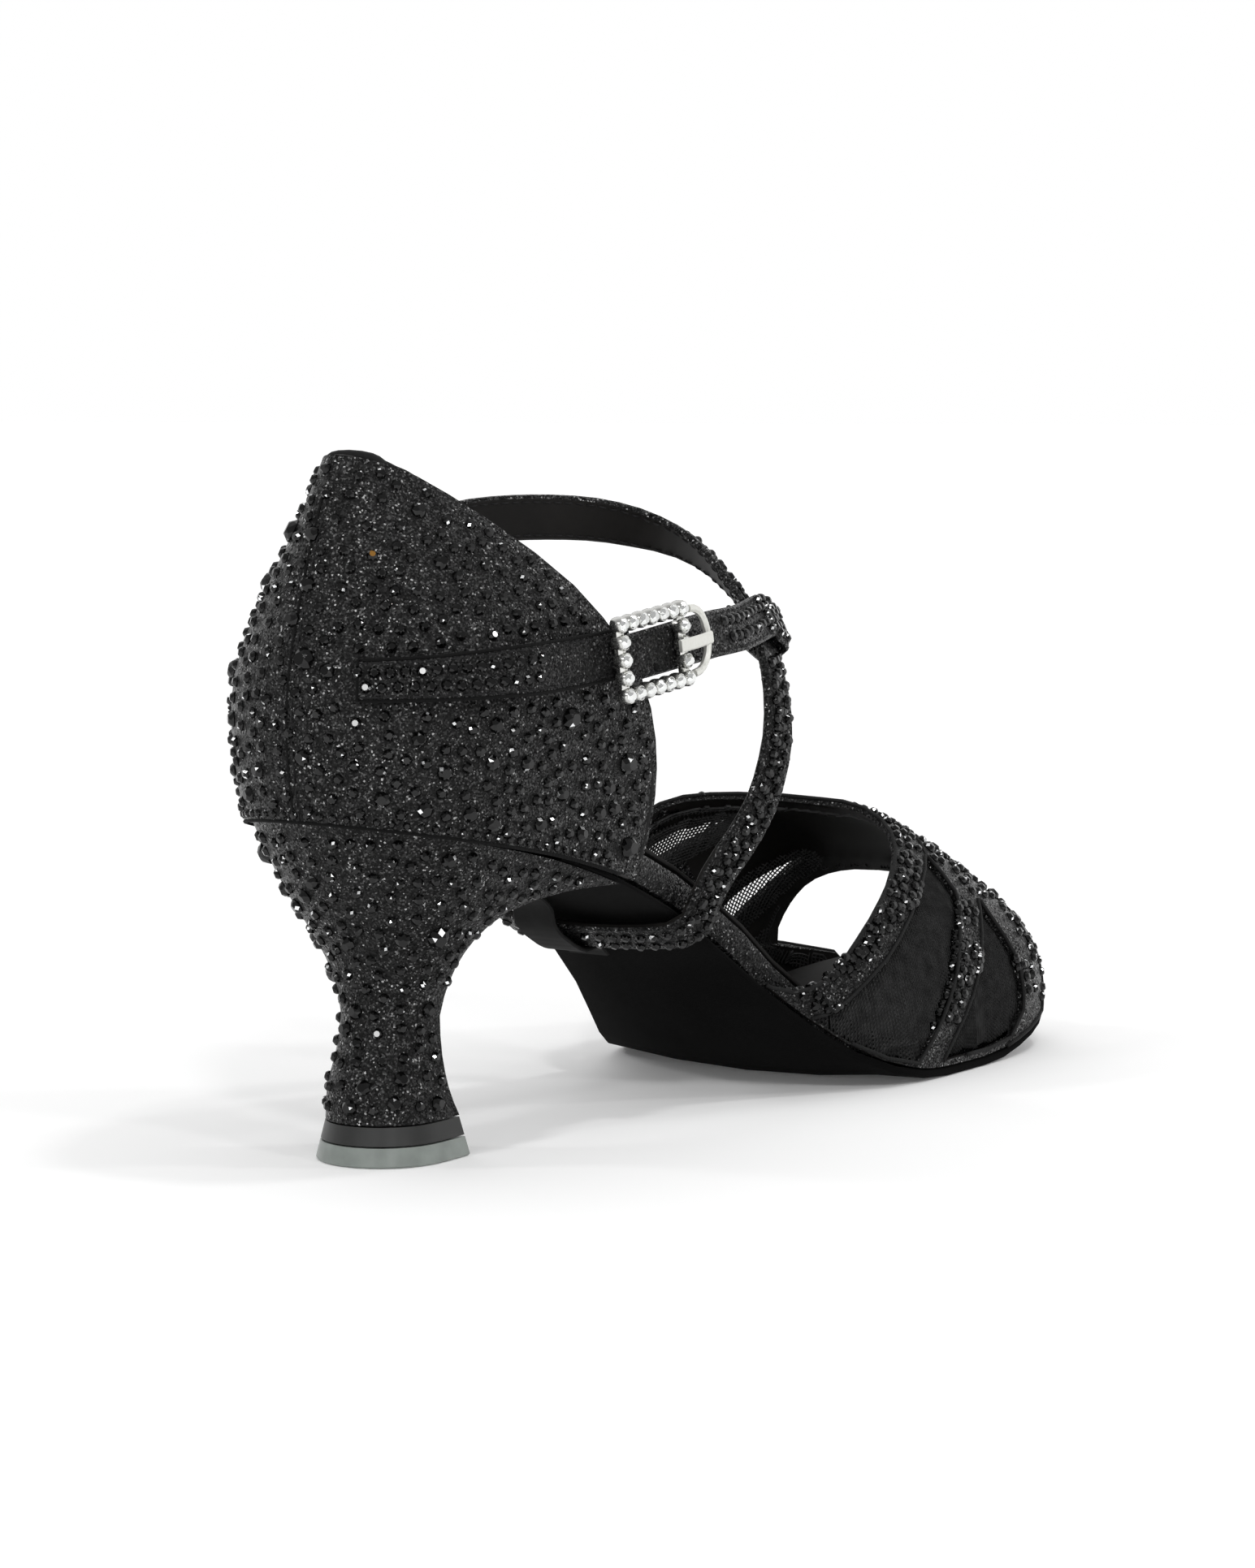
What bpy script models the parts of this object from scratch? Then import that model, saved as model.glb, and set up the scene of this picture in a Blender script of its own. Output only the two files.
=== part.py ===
"""Right ballroom sandal with a flared heel, one arch strap and a buckle.

Lengths are in millimetres in the tables and functions, and every mesh is
written in metres. X points to the toe, Y to the medial side, Z up.
"""

import math

import bmesh
import bpy
import numpy as np
from mathutils import Vector

# Named sizes in millimetres
LENGTH = 224.0
BALL_WIDTH = 74.3
SEAT_WIDTH = 53.0
HEEL_RISE = 60.0
BACK_HEIGHT = 64.0
VAMP_HEIGHT = 60.0
HEEL_ROUND = 26.0
TOE_ROUND = 36.0
OUTSOLE_T = 1.6
BOARD_T = 6.6
BOARD_BACK = 0.0254 * LENGTH
BOARD_FRONT = 0.9848 * LENGTH
SOCK_T = 0.8
COUNTER_WALL = 2.0
VAMP_WALL = 1.3
NET_WALL = 0.6
NET_INSET = 2.5
STRAP_WIDTH = 9.0
STRAP_T = 1.6
TAB_T = 1.3
LOOP_WIDTH = 8.6
KEEPER_WIDTH = 9.5
KEEPER_T = 0.8
TIP_WIDTH = 24.34
TIP_LOWER_T = 3.4
TIP_UPPER_T = 3.2
BUCKLE_LENGTH = 21.5
BUCKLE_HEIGHT = 15.5
BUCKLE_ROD = 2.9
WIRE_R = 0.75
PRONG_T = 0.8
GAP = 0.3


def table(names, *rows):
    """Columns by name, from one row of numbers per section."""
    return {name: [row[i] for row in rows] for i, name in enumerate(names.split())}


# Sole sections: s share of LENGTH, lat and med share of BALL_WIDTH,
# rise of the edges and crown of the middle share of HEEL_RISE
SOLE = table(
    "s lat med rise crown",
    (0.0000, 0.3360, 0.3360, 1.0333, 0.0000),
    (0.0980, 0.3500, 0.3500, 0.9600, 0.0000),
    (0.1890, 0.3630, 0.3630, 0.8867, 0.0000),
    (0.3030, 0.3040, 0.3040, 0.7567, 0.0067),
    (0.3790, 0.2690, 0.2750, 0.6500, 0.0200),
    (0.4260, 0.2640, 0.2750, 0.5533, 0.0300),
    (0.4730, 0.2930, 0.2790, 0.4200, 0.0400),
    (0.5210, 0.3430, 0.3140, 0.2717, 0.0500),
    (0.5680, 0.4040, 0.3740, 0.1450, 0.0567),
    (0.6060, 0.4520, 0.4280, 0.0700, 0.0533),
    (0.6440, 0.4850, 0.4830, 0.0267, 0.0267),
    (0.6810, 0.4930, 0.5180, 0.0060, 0.0083),
    (0.7150, 0.4900, 0.5190, 0.0000, 0.0000),
    (0.7900, 0.4820, 0.5010, 0.0000, 0.0000),
    (0.8400, 0.4750, 0.4760, 0.0290, 0.0000),
    (0.8930, 0.4620, 0.4370, 0.0780, 0.0000),
    (1.0000, 0.4040, 0.3630, 0.1750, 0.0000),
)

# Counter sections: z is height over the seat as a share of BACK_HEIGHT, back and reach of the round
# are shares of LENGTH, half width a share of SEAT_WIDTH
COUNTER = table(
    "z back half reach",
    (-0.2013, 0.0179, 0.5094, 0.1250),
    (0.0041, 0.0076, 0.5000, 0.1250),
    (0.1611, 0.0000, 0.5189, 0.1295),
    (0.2870, -0.0018, 0.5358, 0.1339),
    (0.3955, 0.0004, 0.5434, 0.1429),
    (0.5602, 0.0107, 0.5132, 0.1786),
    (0.7481, 0.0277, 0.4000, 0.2009),
    (0.8663, 0.0402, 0.2906, 0.1786),
    (0.9380, 0.0482, 0.2340, 0.1518),
    (1.0000, 0.0554, 0.1962, 0.1429),
)
# Counter edge from the lower front corner up and back: x share of LENGTH, z over the sole line and
# zb over the seat at the back, shares of BACK_HEIGHT
COUNTER_EDGE = table(
    "v x z zb",
    (0.0000, 0.2857, 0.0124, 0.0219),
    (0.1000, 0.3080, 0.1559, 0.1094),
    (0.2200, 0.3170, 0.2994, 0.2188),
    (0.3400, 0.3089, 0.4383, 0.3438),
    (0.4600, 0.2844, 0.5749, 0.4688),
    (0.5800, 0.2464, 0.6851, 0.5938),
    (0.7000, 0.2000, 0.7990, 0.7188),
    (0.8200, 0.1464, 0.9160, 0.8469),
    (0.9200, 0.1089, 0.9766, 0.9438),
    (1.0000, 0.0848, 0.9999, 0.9984),
)


def curve(table, key, column, value):
    """Smooth monotone reading of one column of a table."""
    xs = np.asarray(table[key], float)
    ys = np.asarray(table[column], float)
    h = np.diff(xs)
    d = np.diff(ys) / h
    m = np.zeros(len(xs))
    m[0] = d[0]
    m[-1] = d[-1]
    for i in range(1, len(xs) - 1):
        if d[i - 1] * d[i] > 0:
            w1 = 2 * h[i] + h[i - 1]
            w2 = h[i] + 2 * h[i - 1]
            m[i] = (w1 + w2) / (w1 / d[i - 1] + w2 / d[i])
    v = min(max(value, xs[0]), xs[-1])
    i = int(min(max(np.searchsorted(xs, v) - 1, 0), len(xs) - 2))
    t = (v - xs[i]) / h[i]
    a = (1 + 2 * t) * (1 - t) ** 2
    b = t * (1 - t) ** 2
    c = t * t * (3 - 2 * t)
    e = t * t * (t - 1)
    return a * ys[i] + b * h[i] * m[i] + c * ys[i + 1] + e * h[i] * m[i + 1]


def smooth(a, b, v):
    """Rises from 0 at a to 1 at b."""
    t = min(max((v - a) / (b - a), 0.0), 1.0)
    return t * t * (3 - 2 * t)


def base(s):
    """Point of the lower profile at share s, with its upward normal in the XZ plane."""
    x = s * LENGTH
    z = curve(SOLE, "s", "rise", s) * HEEL_RISE
    e = 0.004
    z1 = curve(SOLE, "s", "rise", max(s - e, 0)) * HEEL_RISE
    z2 = curve(SOLE, "s", "rise", min(s + e, 1)) * HEEL_RISE
    x1 = max(s - e, 0) * LENGTH
    x2 = min(s + e, 1) * LENGTH
    n = Vector((-(z2 - z1), 0.0, x2 - x1)).normalized()
    return Vector((x, 0.0, z)), n


def base_z(x, lift=0.0):
    """Height of the lower profile at x, lifted along its normal."""
    s = min(max(x / LENGTH, 0.0), 1.0)
    p, n = base(s)
    return p.z + lift / max(n.z, 0.5)


def end_round(x, x0, x1, r0, r1):
    """Share of the full width left near the two ends of an outline."""
    a = min(max((x - x0) / r0, 0.0), 1.0)
    b = min(max((x1 - x) / r1, 0.0), 1.0)
    return math.sqrt(max(1 - (1 - a) ** 2, 0)) * max(1 - (1 - b) ** 2.4, 0) ** (1 / 2.4)


def half_widths(s):
    lat = curve(SOLE, "s", "lat", s) * BALL_WIDTH
    med = curve(SOLE, "s", "med", s) * BALL_WIDTH
    return lat, med


def spread(n, a, b, ends=True):
    """n values from a to b, closer together at the ends."""
    out = []
    for i in range(n):
        t = i / (n - 1)
        if ends:
            t = 0.5 - 0.5 * math.cos(math.pi * t)
        out.append(a + (b - a) * t)
    return out


def make_object(name, verts, faces, mat, flat=35.0):
    mesh = bpy.data.meshes.new(name)
    mesh.from_pydata([Vector(v) * 0.001 for v in verts], [], faces)
    bm = bmesh.new()
    bm.from_mesh(mesh)
    bmesh.ops.remove_doubles(bm, verts=bm.verts, dist=0.00001)
    bmesh.ops.recalc_face_normals(bm, faces=bm.faces)
    bm.to_mesh(mesh)
    bm.free()
    obj = bpy.data.objects.new(name, mesh)
    SHOE.objects.link(obj)
    mesh.materials.append(mat)
    mesh.shade_smooth()
    mesh.set_sharp_from_angle(angle=math.radians(flat))
    return obj


def slab(name, upper, lower, mat, filled=None):
    """Closed body between two grids of points; cells that are not filled become holes."""
    n = len(upper)
    m = len(upper[0])
    if filled is None:
        filled = [[True] * (m - 1) for _ in range(n - 1)]
    verts = [p for row in upper for p in row] + [p for row in lower for p in row]
    k = n * m
    faces = []
    sides = {}
    for i in range(n - 1):
        for j in range(m - 1):
            if not filled[i][j]:
                continue
            a, b, c, d = i * m + j, (i + 1) * m + j, (i + 1) * m + j + 1, i * m + j + 1
            faces.append((a, b, c, d))
            faces.append((a + k, d + k, c + k, b + k))
            for e in ((a, b), (b, c), (c, d), (d, a)):
                key = (min(e), max(e))
                sides[key] = None if key in sides else e
    for e in sides.values():
        if e is not None:
            faces.append((e[1], e[0], e[0] + k, e[1] + k))
    used = sorted({v for f in faces for v in f})
    index = {v: q for q, v in enumerate(used)}
    faces = [tuple(index[v] for v in f) for f in faces]
    return make_object(name, [verts[v] for v in used], faces, mat)


def loft(name, rings, mat, closed=False, flat=35.0):
    """Closed body through rings of points; open ends are capped."""
    n = len(rings)
    m = len(rings[0])
    verts = [p for r in rings for p in r]
    faces = []
    for i in range(n if closed else n - 1):
        a0 = i * m
        b0 = ((i + 1) % n) * m
        for j in range(m):
            q = (j + 1) % m
            faces.append((a0 + j, a0 + q, b0 + q, b0 + j))
    if not closed:
        for start, step in ((0, -1), ((n - 1) * m, 1)):
            ring = [start + j for j in range(m)][::step]
            faces.append(tuple(ring))
    return make_object(name, verts, faces, mat, flat)


def rounded(half_y, lo, hi, r, corner=3, below=0):
    """Cross-section of a slab: flat above, round at the two edges, as (y, n) pairs."""
    pts = []
    r = min(r, (hi - lo) * 0.48, half_y * 0.6)
    y = half_y - r
    for cy, cn, a0 in ((y, lo + r, -90), (y, hi - r, 0), (-y, hi - r, 90), (-y, lo + r, 180)):
        for q in range(corner):
            a = math.radians(a0 + 90 * q / (corner - 1))
            pts.append((cy + r * math.cos(a), cn + r * math.sin(a)))
    for q in range(1, below):
        pts.append((-y + 2 * y * q / below, lo))
    return pts


def board_rings(stations, widths, lo, hi, r, x0, x1, r0, r1, crowned=False):
    """Rings of a slab that follows the lower profile between two offsets."""
    rings = []
    for s in stations:
        p, nr = base(s)
        k = end_round(p.x, x0, x1, r0, r1)
        lat, med = widths(s)
        lat, med = lat * k, med * k
        mid = (med - lat) / 2
        half = (med + lat) / 2
        low = lo(s) if callable(lo) else lo
        high = hi(s) if callable(hi) else hi
        drop = curve(SOLE, "s", "crown", s) * HEEL_RISE if crowned else 0.0
        ring = []
        for y, q in rounded(half, low, high, r, 3, 4 if crowned else 0):
            ease = 1 - (y / half) ** 2
            ring.append(p + nr * (q - drop * ease * (q < high - 0.01)) + Vector((0, mid + y, 0)))
        rings.append(ring)
    return rings


# Materials and collections
def material(name, colour, rough, metal=0.0):
    mat = bpy.data.materials.new(name)
    mat.use_nodes = True
    node = mat.node_tree.nodes["Principled BSDF"]
    node.inputs["Base Color"].default_value = (*colour, 1.0)
    node.inputs["Roughness"].default_value = rough
    node.inputs["Metallic"].default_value = metal
    return mat


for old in list(bpy.data.objects):
    bpy.data.objects.remove(old)
SHOE = bpy.data.collections.new("ballroom_sandal")
bpy.context.scene.collection.children.link(SHOE)
GLITTER = material("glitter_fabric", (0.035, 0.035, 0.036), 0.6)
SUEDE = material("suede", (0.012, 0.012, 0.012), 0.95)
LINING = material("lining", (0.022, 0.020, 0.018), 0.7)
NET = material("net", (0.03, 0.03, 0.03), 0.7)
ELASTIC = material("elastic", (0.02, 0.02, 0.02), 0.8)
TIP_DARK = material("tip_dark", (0.06, 0.06, 0.058), 0.4)
TIP_CLEAR = material("tip_clear", (0.35, 0.38, 0.36), 0.25)
SILVER = material("silver", (0.8, 0.8, 0.78), 0.25, 1.0)

STATIONS = spread(37, 0.0275, 0.982)


# Outsole: thin suede from under the heel seat to the toe
def outsole_top(s):
    """Thickness of the outsole, thin under the seat."""
    return OUTSOLE_T * (0.56 + 0.44 * smooth(0.30, 0.62, s))


def counter_y(x, z, inset=0.0):
    """Half width of the counter's outer face at height z, or of a face inset from it."""
    q = (z - HEEL_RISE) / BACK_HEIGHT
    back = curve(COUNTER, "z", "back", q) * LENGTH + inset
    half = curve(COUNTER, "z", "half", q) * SEAT_WIDTH - inset
    reach = curve(COUNTER, "z", "reach", q) * LENGTH - inset
    t = min(max((x - back) / reach, 0.0), 1.0)
    y = half * math.sqrt(max(1 - (1 - t) ** 2, 0))
    return max(y, 0.01)


def sole_widths(s):
    """Half widths of the outsole: inside the counter at the seat, full ahead of it."""
    lat, med = half_widths(s)
    x = s * LENGTH
    if s < 0.30:
        room = counter_y(x, base_z(x), COUNTER_WALL) - GAP - 0.2
        lat = min(lat, room)
        med = min(med, room)
    return lat, med


outsole = loft(
    "outsole",
    board_rings(
        [0.203] + [q for q in STATIONS if q > 0.215] + [0.989, 0.995, 0.9988],
        sole_widths, 0.0, outsole_top, 0.5, 30.0, LENGTH, 1.0, TOE_ROUND, True,
    ),
    SUEDE,
)


# Padded board: full width at the waist, inside the wall at heel and forefoot
def board_widths(s):
    x = s * LENGTH
    lat, med = half_widths(s)
    heel_in = 1 - smooth(0.272, 0.3125, s)
    under = VAMP_WALL + GAP + 1.6
    inset = 0.1 + (under - 0.1) * smooth(0.482, 0.518, s)
    inset_m = 0.1 + (under - 0.1) * smooth(0.50, 0.536, s)
    clear = COUNTER_WALL + GAP + 0.5
    y = counter_y(x, base_z(x, 3.0)) - clear
    lat_h = min(lat, y) if heel_in > 0 else lat
    med_h = min(med, y) if heel_in > 0 else med
    lat = (lat - inset) * (1 - heel_in) + lat_h * heel_in
    med = (med - inset_m) * (1 - heel_in) + med_h * heel_in
    return lat, med


def board_low(s):
    return outsole_top(s) + GAP


def board_high(s):
    return board_low(s) + BOARD_T * (1 - 0.333 * smooth(0.50, 0.66, s))


board = loft(
    "padded_board",
    board_rings(
        STATIONS, board_widths, board_low, board_high, 2.2,
        BOARD_BACK, BOARD_FRONT, HEEL_ROUND, TOE_ROUND,
    ),
    GLITTER,
)

# Sock lining over the board
sock = loft(
    "sock_lining",
    board_rings(
        STATIONS[2:-2],
        lambda s: tuple(w - 1.3 for w in board_widths(s)),
        lambda s: board_high(s) + GAP,
        lambda s: board_high(s) + GAP + SOCK_T,
        0.3, BOARD_BACK * 1.08, BOARD_FRONT * 0.9955, HEEL_ROUND, TOE_ROUND,
    ),
    LINING,
)

# Counter: a wall around the heel, open at the top and the front
def counter_row(v, columns, inset):
    """Row of points round the heel, from the lateral edge over the back to the medial edge."""
    xe = curve(COUNTER_EDGE, "v", "x", v) * LENGTH
    ze = base_z(xe) + curve(COUNTER_EDGE, "v", "z", v) * BACK_HEIGHT
    share = curve(COUNTER_EDGE, "v", "zb", v)
    zb = HEEL_RISE + share * BACK_HEIGHT
    follow = 1 - smooth(0.0, 0.34, v)
    xb = curve(COUNTER, "z", "back", share) * LENGTH + inset
    fine = []
    steps = 60
    for i in range(steps + 1):
        x = xb + (xe - xb) * (1 - math.cos(0.5 * math.pi * i / steps))
        t = (xe - x) / (xe - xb)
        line = ze + (zb - ze) * t
        seat = base_z(x) + (ze - base_z(xe)) * (1 - t) + (zb - base_z(xb)) * t
        z = line * (1 - follow) + seat * follow
        fine.append(Vector((x, counter_y(x, z, inset) if i else 0.0, z)))
    run = [0.0]
    for p, q in zip(fine, fine[1:]):
        run.append(run[-1] + (q - p).length)
    row = []
    for i in range(columns + 1):
        d = run[-1] * i / columns
        k = min(max(int(np.searchsorted(run, d)), 1), steps)
        f = (d - run[k - 1]) / max(run[k] - run[k - 1], 1e-9)
        row.append(fine[k - 1].lerp(fine[k], f))
    return [Vector((p.x, -p.y, p.z)) for p in row[::-1]] + row[1:]


COUNTER_ROWS = 16
COUNTER_COLUMNS = 15
COUNTER_V = spread(COUNTER_ROWS, 0.0, 1.0, False)
counter = slab(
    "counter",
    [counter_row(v, COUNTER_COLUMNS, 0.0) for v in COUNTER_V],
    [counter_row(v, COUNTER_COLUMNS, COUNTER_WALL) for v in COUNTER_V],
    GLITTER,
)

HEEL_FOOT = TIP_LOWER_T + GAP + TIP_UPPER_T + GAP

# Heel: z share of the way up to the seat; back, middle of the breast and its corner are shares of LENGTH,
# half width at the back and width at the breast are shares of SEAT_WIDTH
HEEL = table(
    "z back half front corner wide",
    (0.0000, 0.0665, 0.1953, 0.1522, 0.1522, 0.1887),
    (0.1078, 0.0665, 0.1811, 0.1442, 0.1442, 0.1698),
    (0.2193, 0.0746, 0.1623, 0.1429, 0.1429, 0.1491),
    (0.3680, 0.0808, 0.1547, 0.1438, 0.1438, 0.1358),
    (0.4424, 0.0808, 0.1736, 0.1451, 0.1451, 0.1509),
    (0.5446, 0.0768, 0.2208, 0.1473, 0.1482, 0.1849),
    (0.6561, 0.0621, 0.2755, 0.1527, 0.1562, 0.2377),
    (0.7584, 0.0438, 0.3358, 0.1629, 0.1719, 0.3019),
    (0.8606, 0.0312, 0.3962, 0.1741, 0.2098, 0.3698),
    (0.9442, 0.0223, 0.4415, 0.1875, 0.2545, 0.4151),
    (1.0000, 0.0165, 0.4642, 0.1964, 0.2857, 0.4453),
)


def heel_outline(back, half, front, corner, wide, side=12, breast=6):
    """Closed D outline: round back, sides to the corners, hollow breast."""
    reach = min(half * 1.02, (corner - back) * 0.62)
    pts = []
    for i in range(side + 1):
        t = i / side
        if t < 0.6:
            a = 0.5 * math.pi * t / 0.6
            pts.append((back + reach * (1 - math.cos(a)), half * math.sin(a)))
        else:
            q = (t - 0.6) / 0.4
            y = half + (wide - half) * q * q
            pts.append((back + reach + (corner - back - reach) * q, y))
    left = pts
    right = [(x, -y) for x, y in pts[1:]]
    cut = []
    for i in range(1, breast):
        y = wide * (1 - 2 * i / breast)
        cut.append((front + (corner - front) * (abs(y) / wide) ** 2, y))
    return left + cut + right[::-1]


def heel_size(column, part):
    unit = SEAT_WIDTH if column in ("half", "wide") else LENGTH
    return curve(HEEL, "z", column, part) * unit


def heel_ring(part):
    outline = heel_outline(*(heel_size(c, part) for c in ("back", "half", "front", "corner", "wide")))
    ring = []
    for x, y in outline:
        seat = base_z(x) - GAP
        ring.append(Vector((x, y, HEEL_FOOT + (seat - HEEL_FOOT) * part)))
    return ring


HEEL_PARTS = [
    0, 0.052, 0.108, 0.163, 0.219, 0.294, 0.368, 0.442, 0.498,
    0.554, 0.61, 0.665, 0.72, 0.78, 0.84, 0.9, 0.95, 1.0,
]
heel = loft("heel", [heel_ring(part) for part in HEEL_PARTS], GLITTER)


def tip_ring(z, swell):
    """Outline of the heel tip at height z, widest at the floor."""
    t = z / HEEL_FOOT
    half = (TIP_WIDTH / 2 * (1 - t) + heel_size("half", 0) * t) * swell
    centre = 0.113 * LENGTH
    corner = (0.1571 - 0.005 * t) * LENGTH - (1 - swell) * TIP_WIDTH / 2
    outline = heel_outline(centre - half, half, corner - GAP, corner, half * 0.955)
    return [Vector((x, y, z)) for x, y in outline]


lower = [tip_ring(0.0, 0.975), tip_ring(0.3, 1.0), tip_ring(TIP_LOWER_T, 1.0)]
tip_lower = loft("heel_tip_lower", lower, TIP_CLEAR)
upper_foot = TIP_LOWER_T + GAP
upper = [tip_ring(upper_foot + TIP_UPPER_T * t, 1.0) for t in (0, 0.5, 1)]
tip_upper = loft("heel_tip_upper", upper, TIP_DARK)

# Vamp form: x share of LENGTH, crest_y of BALL_WIDTH, crest_z of VAMP_HEIGHT; p tells how full each side is
VAMP = table(
    "x crest_y crest_z p_lat p_med",
    (0.4464, 0.1615, 1.4000, 1.6000, 2.3000),
    (0.5357, 0.1615, 1.2167, 1.6000, 2.3000),
    (0.6027, 0.1615, 1.1083, 1.7000, 2.4000),
    (0.6696, 0.1480, 1.0000, 1.9500, 2.5000),
    (0.7232, 0.1077, 0.9333, 2.1000, 2.5000),
    (0.7857, 0.0538, 0.8500, 2.2000, 2.4000),
    (0.8482, 0.0135, 0.7100, 2.3000, 2.3000),
    (0.9152, 0.0000, 0.5583, 2.4000, 2.3000),
    (1.0000, 0.0000, 0.4167, 2.4000, 2.3000),
)
# Band edges: x as a share of LENGTH where each edge crosses the section lines f, from the lateral foot (0)
# to the medial foot (1)
BANDS = table(
    "f throat band_1 band_2a band_2b band_3a toe",
    (0.0000, 0.5000, 0.5402, 0.6518, 0.6920, 0.8170, 0.9062),
    (0.0300, 0.5268, 0.5580, 0.6786, 0.7210, 0.8504, 0.9241),
    (0.0600, 0.5491, 0.5781, 0.7076, 0.7500, 0.8540, 0.9308),
    (0.1000, 0.5781, 0.6094, 0.7366, 0.7768, 0.8540, 0.9286),
    (0.1400, 0.6071, 0.6518, 0.7545, 0.7938, 0.8460, 0.9219),
    (0.1800, 0.6429, 0.6942, 0.7723, 0.8080, 0.8348, 0.9152),
    (0.2200, 0.6830, 0.7299, 0.7835, 0.8214, 0.8259, 0.9085),
    (0.2800, 0.7277, 0.7701, 0.7746, 0.8326, 0.8371, 0.9040),
    (0.3600, 0.7589, 0.7969, 0.8013, 0.8415, 0.8460, 0.9040),
    (0.5000, 0.7790, 0.8147, 0.8192, 0.8504, 0.8549, 0.9018),
    (0.6000, 0.7411, 0.7902, 0.7946, 0.8504, 0.8549, 0.8906),
    (0.6600, 0.6964, 0.7634, 0.7679, 0.8482, 0.8527, 0.8839),
    (0.7300, 0.6562, 0.7121, 0.7446, 0.8371, 0.8513, 0.8795),
    (0.7900, 0.6250, 0.6719, 0.7054, 0.8214, 0.8438, 0.8795),
    (0.8600, 0.5938, 0.6339, 0.6652, 0.7991, 0.8237, 0.8795),
    (0.9000, 0.5785, 0.6186, 0.6499, 0.7864, 0.8135, 0.8840),
    (0.9300, 0.5670, 0.6071, 0.6384, 0.7768, 0.8058, 0.9400),
    (1.0000, 0.5446, 0.5848, 0.6205, 0.7589, 0.7902, 0.9560),
)


def vamp_point(x, f, lift=0.0):
    """Point of the vamp's outer face at x and section share f, lifted off it."""
    def at(xx, ff):
        s = min(xx / LENGTH, 0.9985)
        lat, med = half_widths(s)
        k = end_round(xx, -50.0, LENGTH, 1.0, TOE_ROUND)
        lat, med = lat * k, med * k
        foot = base_z(xx, outsole_top(s) + GAP + 0.1)
        cy = curve(VAMP, "x", "crest_y", s) * BALL_WIDTH * k
        cz = curve(VAMP, "x", "crest_z", s) * VAMP_HEIGHT
        a = math.pi * ff
        side = lat + cy if ff <= 0.5 else med - cy
        p = curve(VAMP, "x", "p_lat" if ff <= 0.5 else "p_med", s)
        c = math.cos(a)
        y = cy - math.copysign(abs(c) ** (2 / p), c) * side
        return Vector((xx, y, foot + (cz - foot) * max(math.sin(a), 0) ** (2 / p)))
    p = at(x, f)
    if not lift:
        return p
    e = 0.5
    g = min(max(f, 0.012), 0.988)
    dx = at(x + e, g) - at(x - e, g)
    df = at(x, g + 0.01) - at(x, g - 0.01)
    n = dx.cross(df).normalized()
    if n.z < 0 and 0.1 < f < 0.9:
        n = -n
    if f <= 0.1 and n.y > 0:
        n = -n
    if f >= 0.9 and n.y < 0:
        n = -n
    return p + n * lift


F_ROWS = [
    0.0, 0.006, 0.03, 0.05, 0.07, 0.10, 0.125, 0.15, 0.175, 0.20, 0.22, 0.25, 0.28, 0.32, 0.36, 0.41, 0.46,
    0.50, 0.55, 0.60, 0.63, 0.66, 0.695, 0.73, 0.76, 0.79, 0.825, 0.86, 0.90, 0.94, 0.97, 0.994, 1.0,
]
APEX = {"lat_1": 0.28, "lat_2": 0.22, "med_1": 0.66, "med_2": 0.66}
SPLITS = [
    ("throat", "band_1", 4),
    ("band_1", "band_2a", 3),
    ("band_2a", "band_2b", 3),
    ("band_2b", "band_3a", 3),
    ("band_3a", "toe", 4),
]


def vamp_grid(lift):
    rows = []
    for f in F_ROWS:
        line = []
        for a, b, n in SPLITS:
            xa = curve(BANDS, "f", a, f) * LENGTH
            xb = curve(BANDS, "f", b, f) * LENGTH
            for i in range(n):
                line.append(vamp_point(xa + (xb - xa) * i / n, f, lift))
        line.append(vamp_point(curve(BANDS, "f", "toe", f) * LENGTH, f, lift))
        rows.append(line)
    return rows


def vamp_filled():
    filled = []
    for f0, f1 in zip(F_ROWS, F_ROWS[1:]):
        line = []
        for a, b, n in SPLITS:
            keep = True
            if (a, b) == ("band_1", "band_2a"):
                keep = f0 >= APEX["lat_1"] - 1e-6 and f1 <= APEX["med_1"] + 1e-6
                keep = keep or f0 < 0.0001 or f1 > 0.9999
            if (a, b) == ("band_2b", "band_3a"):
                keep = f0 >= APEX["lat_2"] - 1e-6 and f1 <= APEX["med_2"] + 1e-6
                keep = keep or f0 < 0.0001 or f1 > 0.9999
            line += [keep] * n
        filled.append(line)
    return filled


bands = slab("vamp_bands", vamp_grid(0.0), vamp_grid(-VAMP_WALL), GLITTER, vamp_filled())

# Net behind the bands
NET_F = F_ROWS[1:-1]
NET_COLUMNS = 9
NET_LIFT = -VAMP_WALL - GAP - 0.4


def net_grid(lift):
    rows = []
    for f in NET_F:
        line = []
        xa = curve(BANDS, "f", "throat", f) * LENGTH + NET_INSET
        xb = curve(BANDS, "f", "toe", f) * LENGTH - NET_INSET
        for i in range(NET_COLUMNS):
            line.append(vamp_point(xa + (xb - xa) * i / (NET_COLUMNS - 1), f, lift))
        rows.append(line)
    return rows


net = slab("vamp_net", net_grid(NET_LIFT), net_grid(NET_LIFT - NET_WALL), NET)


# Straps
def rounded_strip(width, thick):
    """Cross-section of a strap as (across, out) pairs."""
    w = width / 2
    t = thick / 2
    c = min(t * 0.7, 0.5)
    half = [(-w, -t + c), (-w + c, -t), (w - c, -t), (w, -t + c)]
    return half + [(-a, -b) for a, b in half]


def strip(name, path, width, thick, mat):
    """Strap along a path of (point, across, out) frames."""
    rings = []
    for i, (p, across, out) in enumerate(path):
        w = width(i / (len(path) - 1)) if callable(width) else width
        rings.append([p + across * a + out * b for a, b in rounded_strip(w, thick)])
    return loft(name, rings, mat, flat=40.0)


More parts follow.
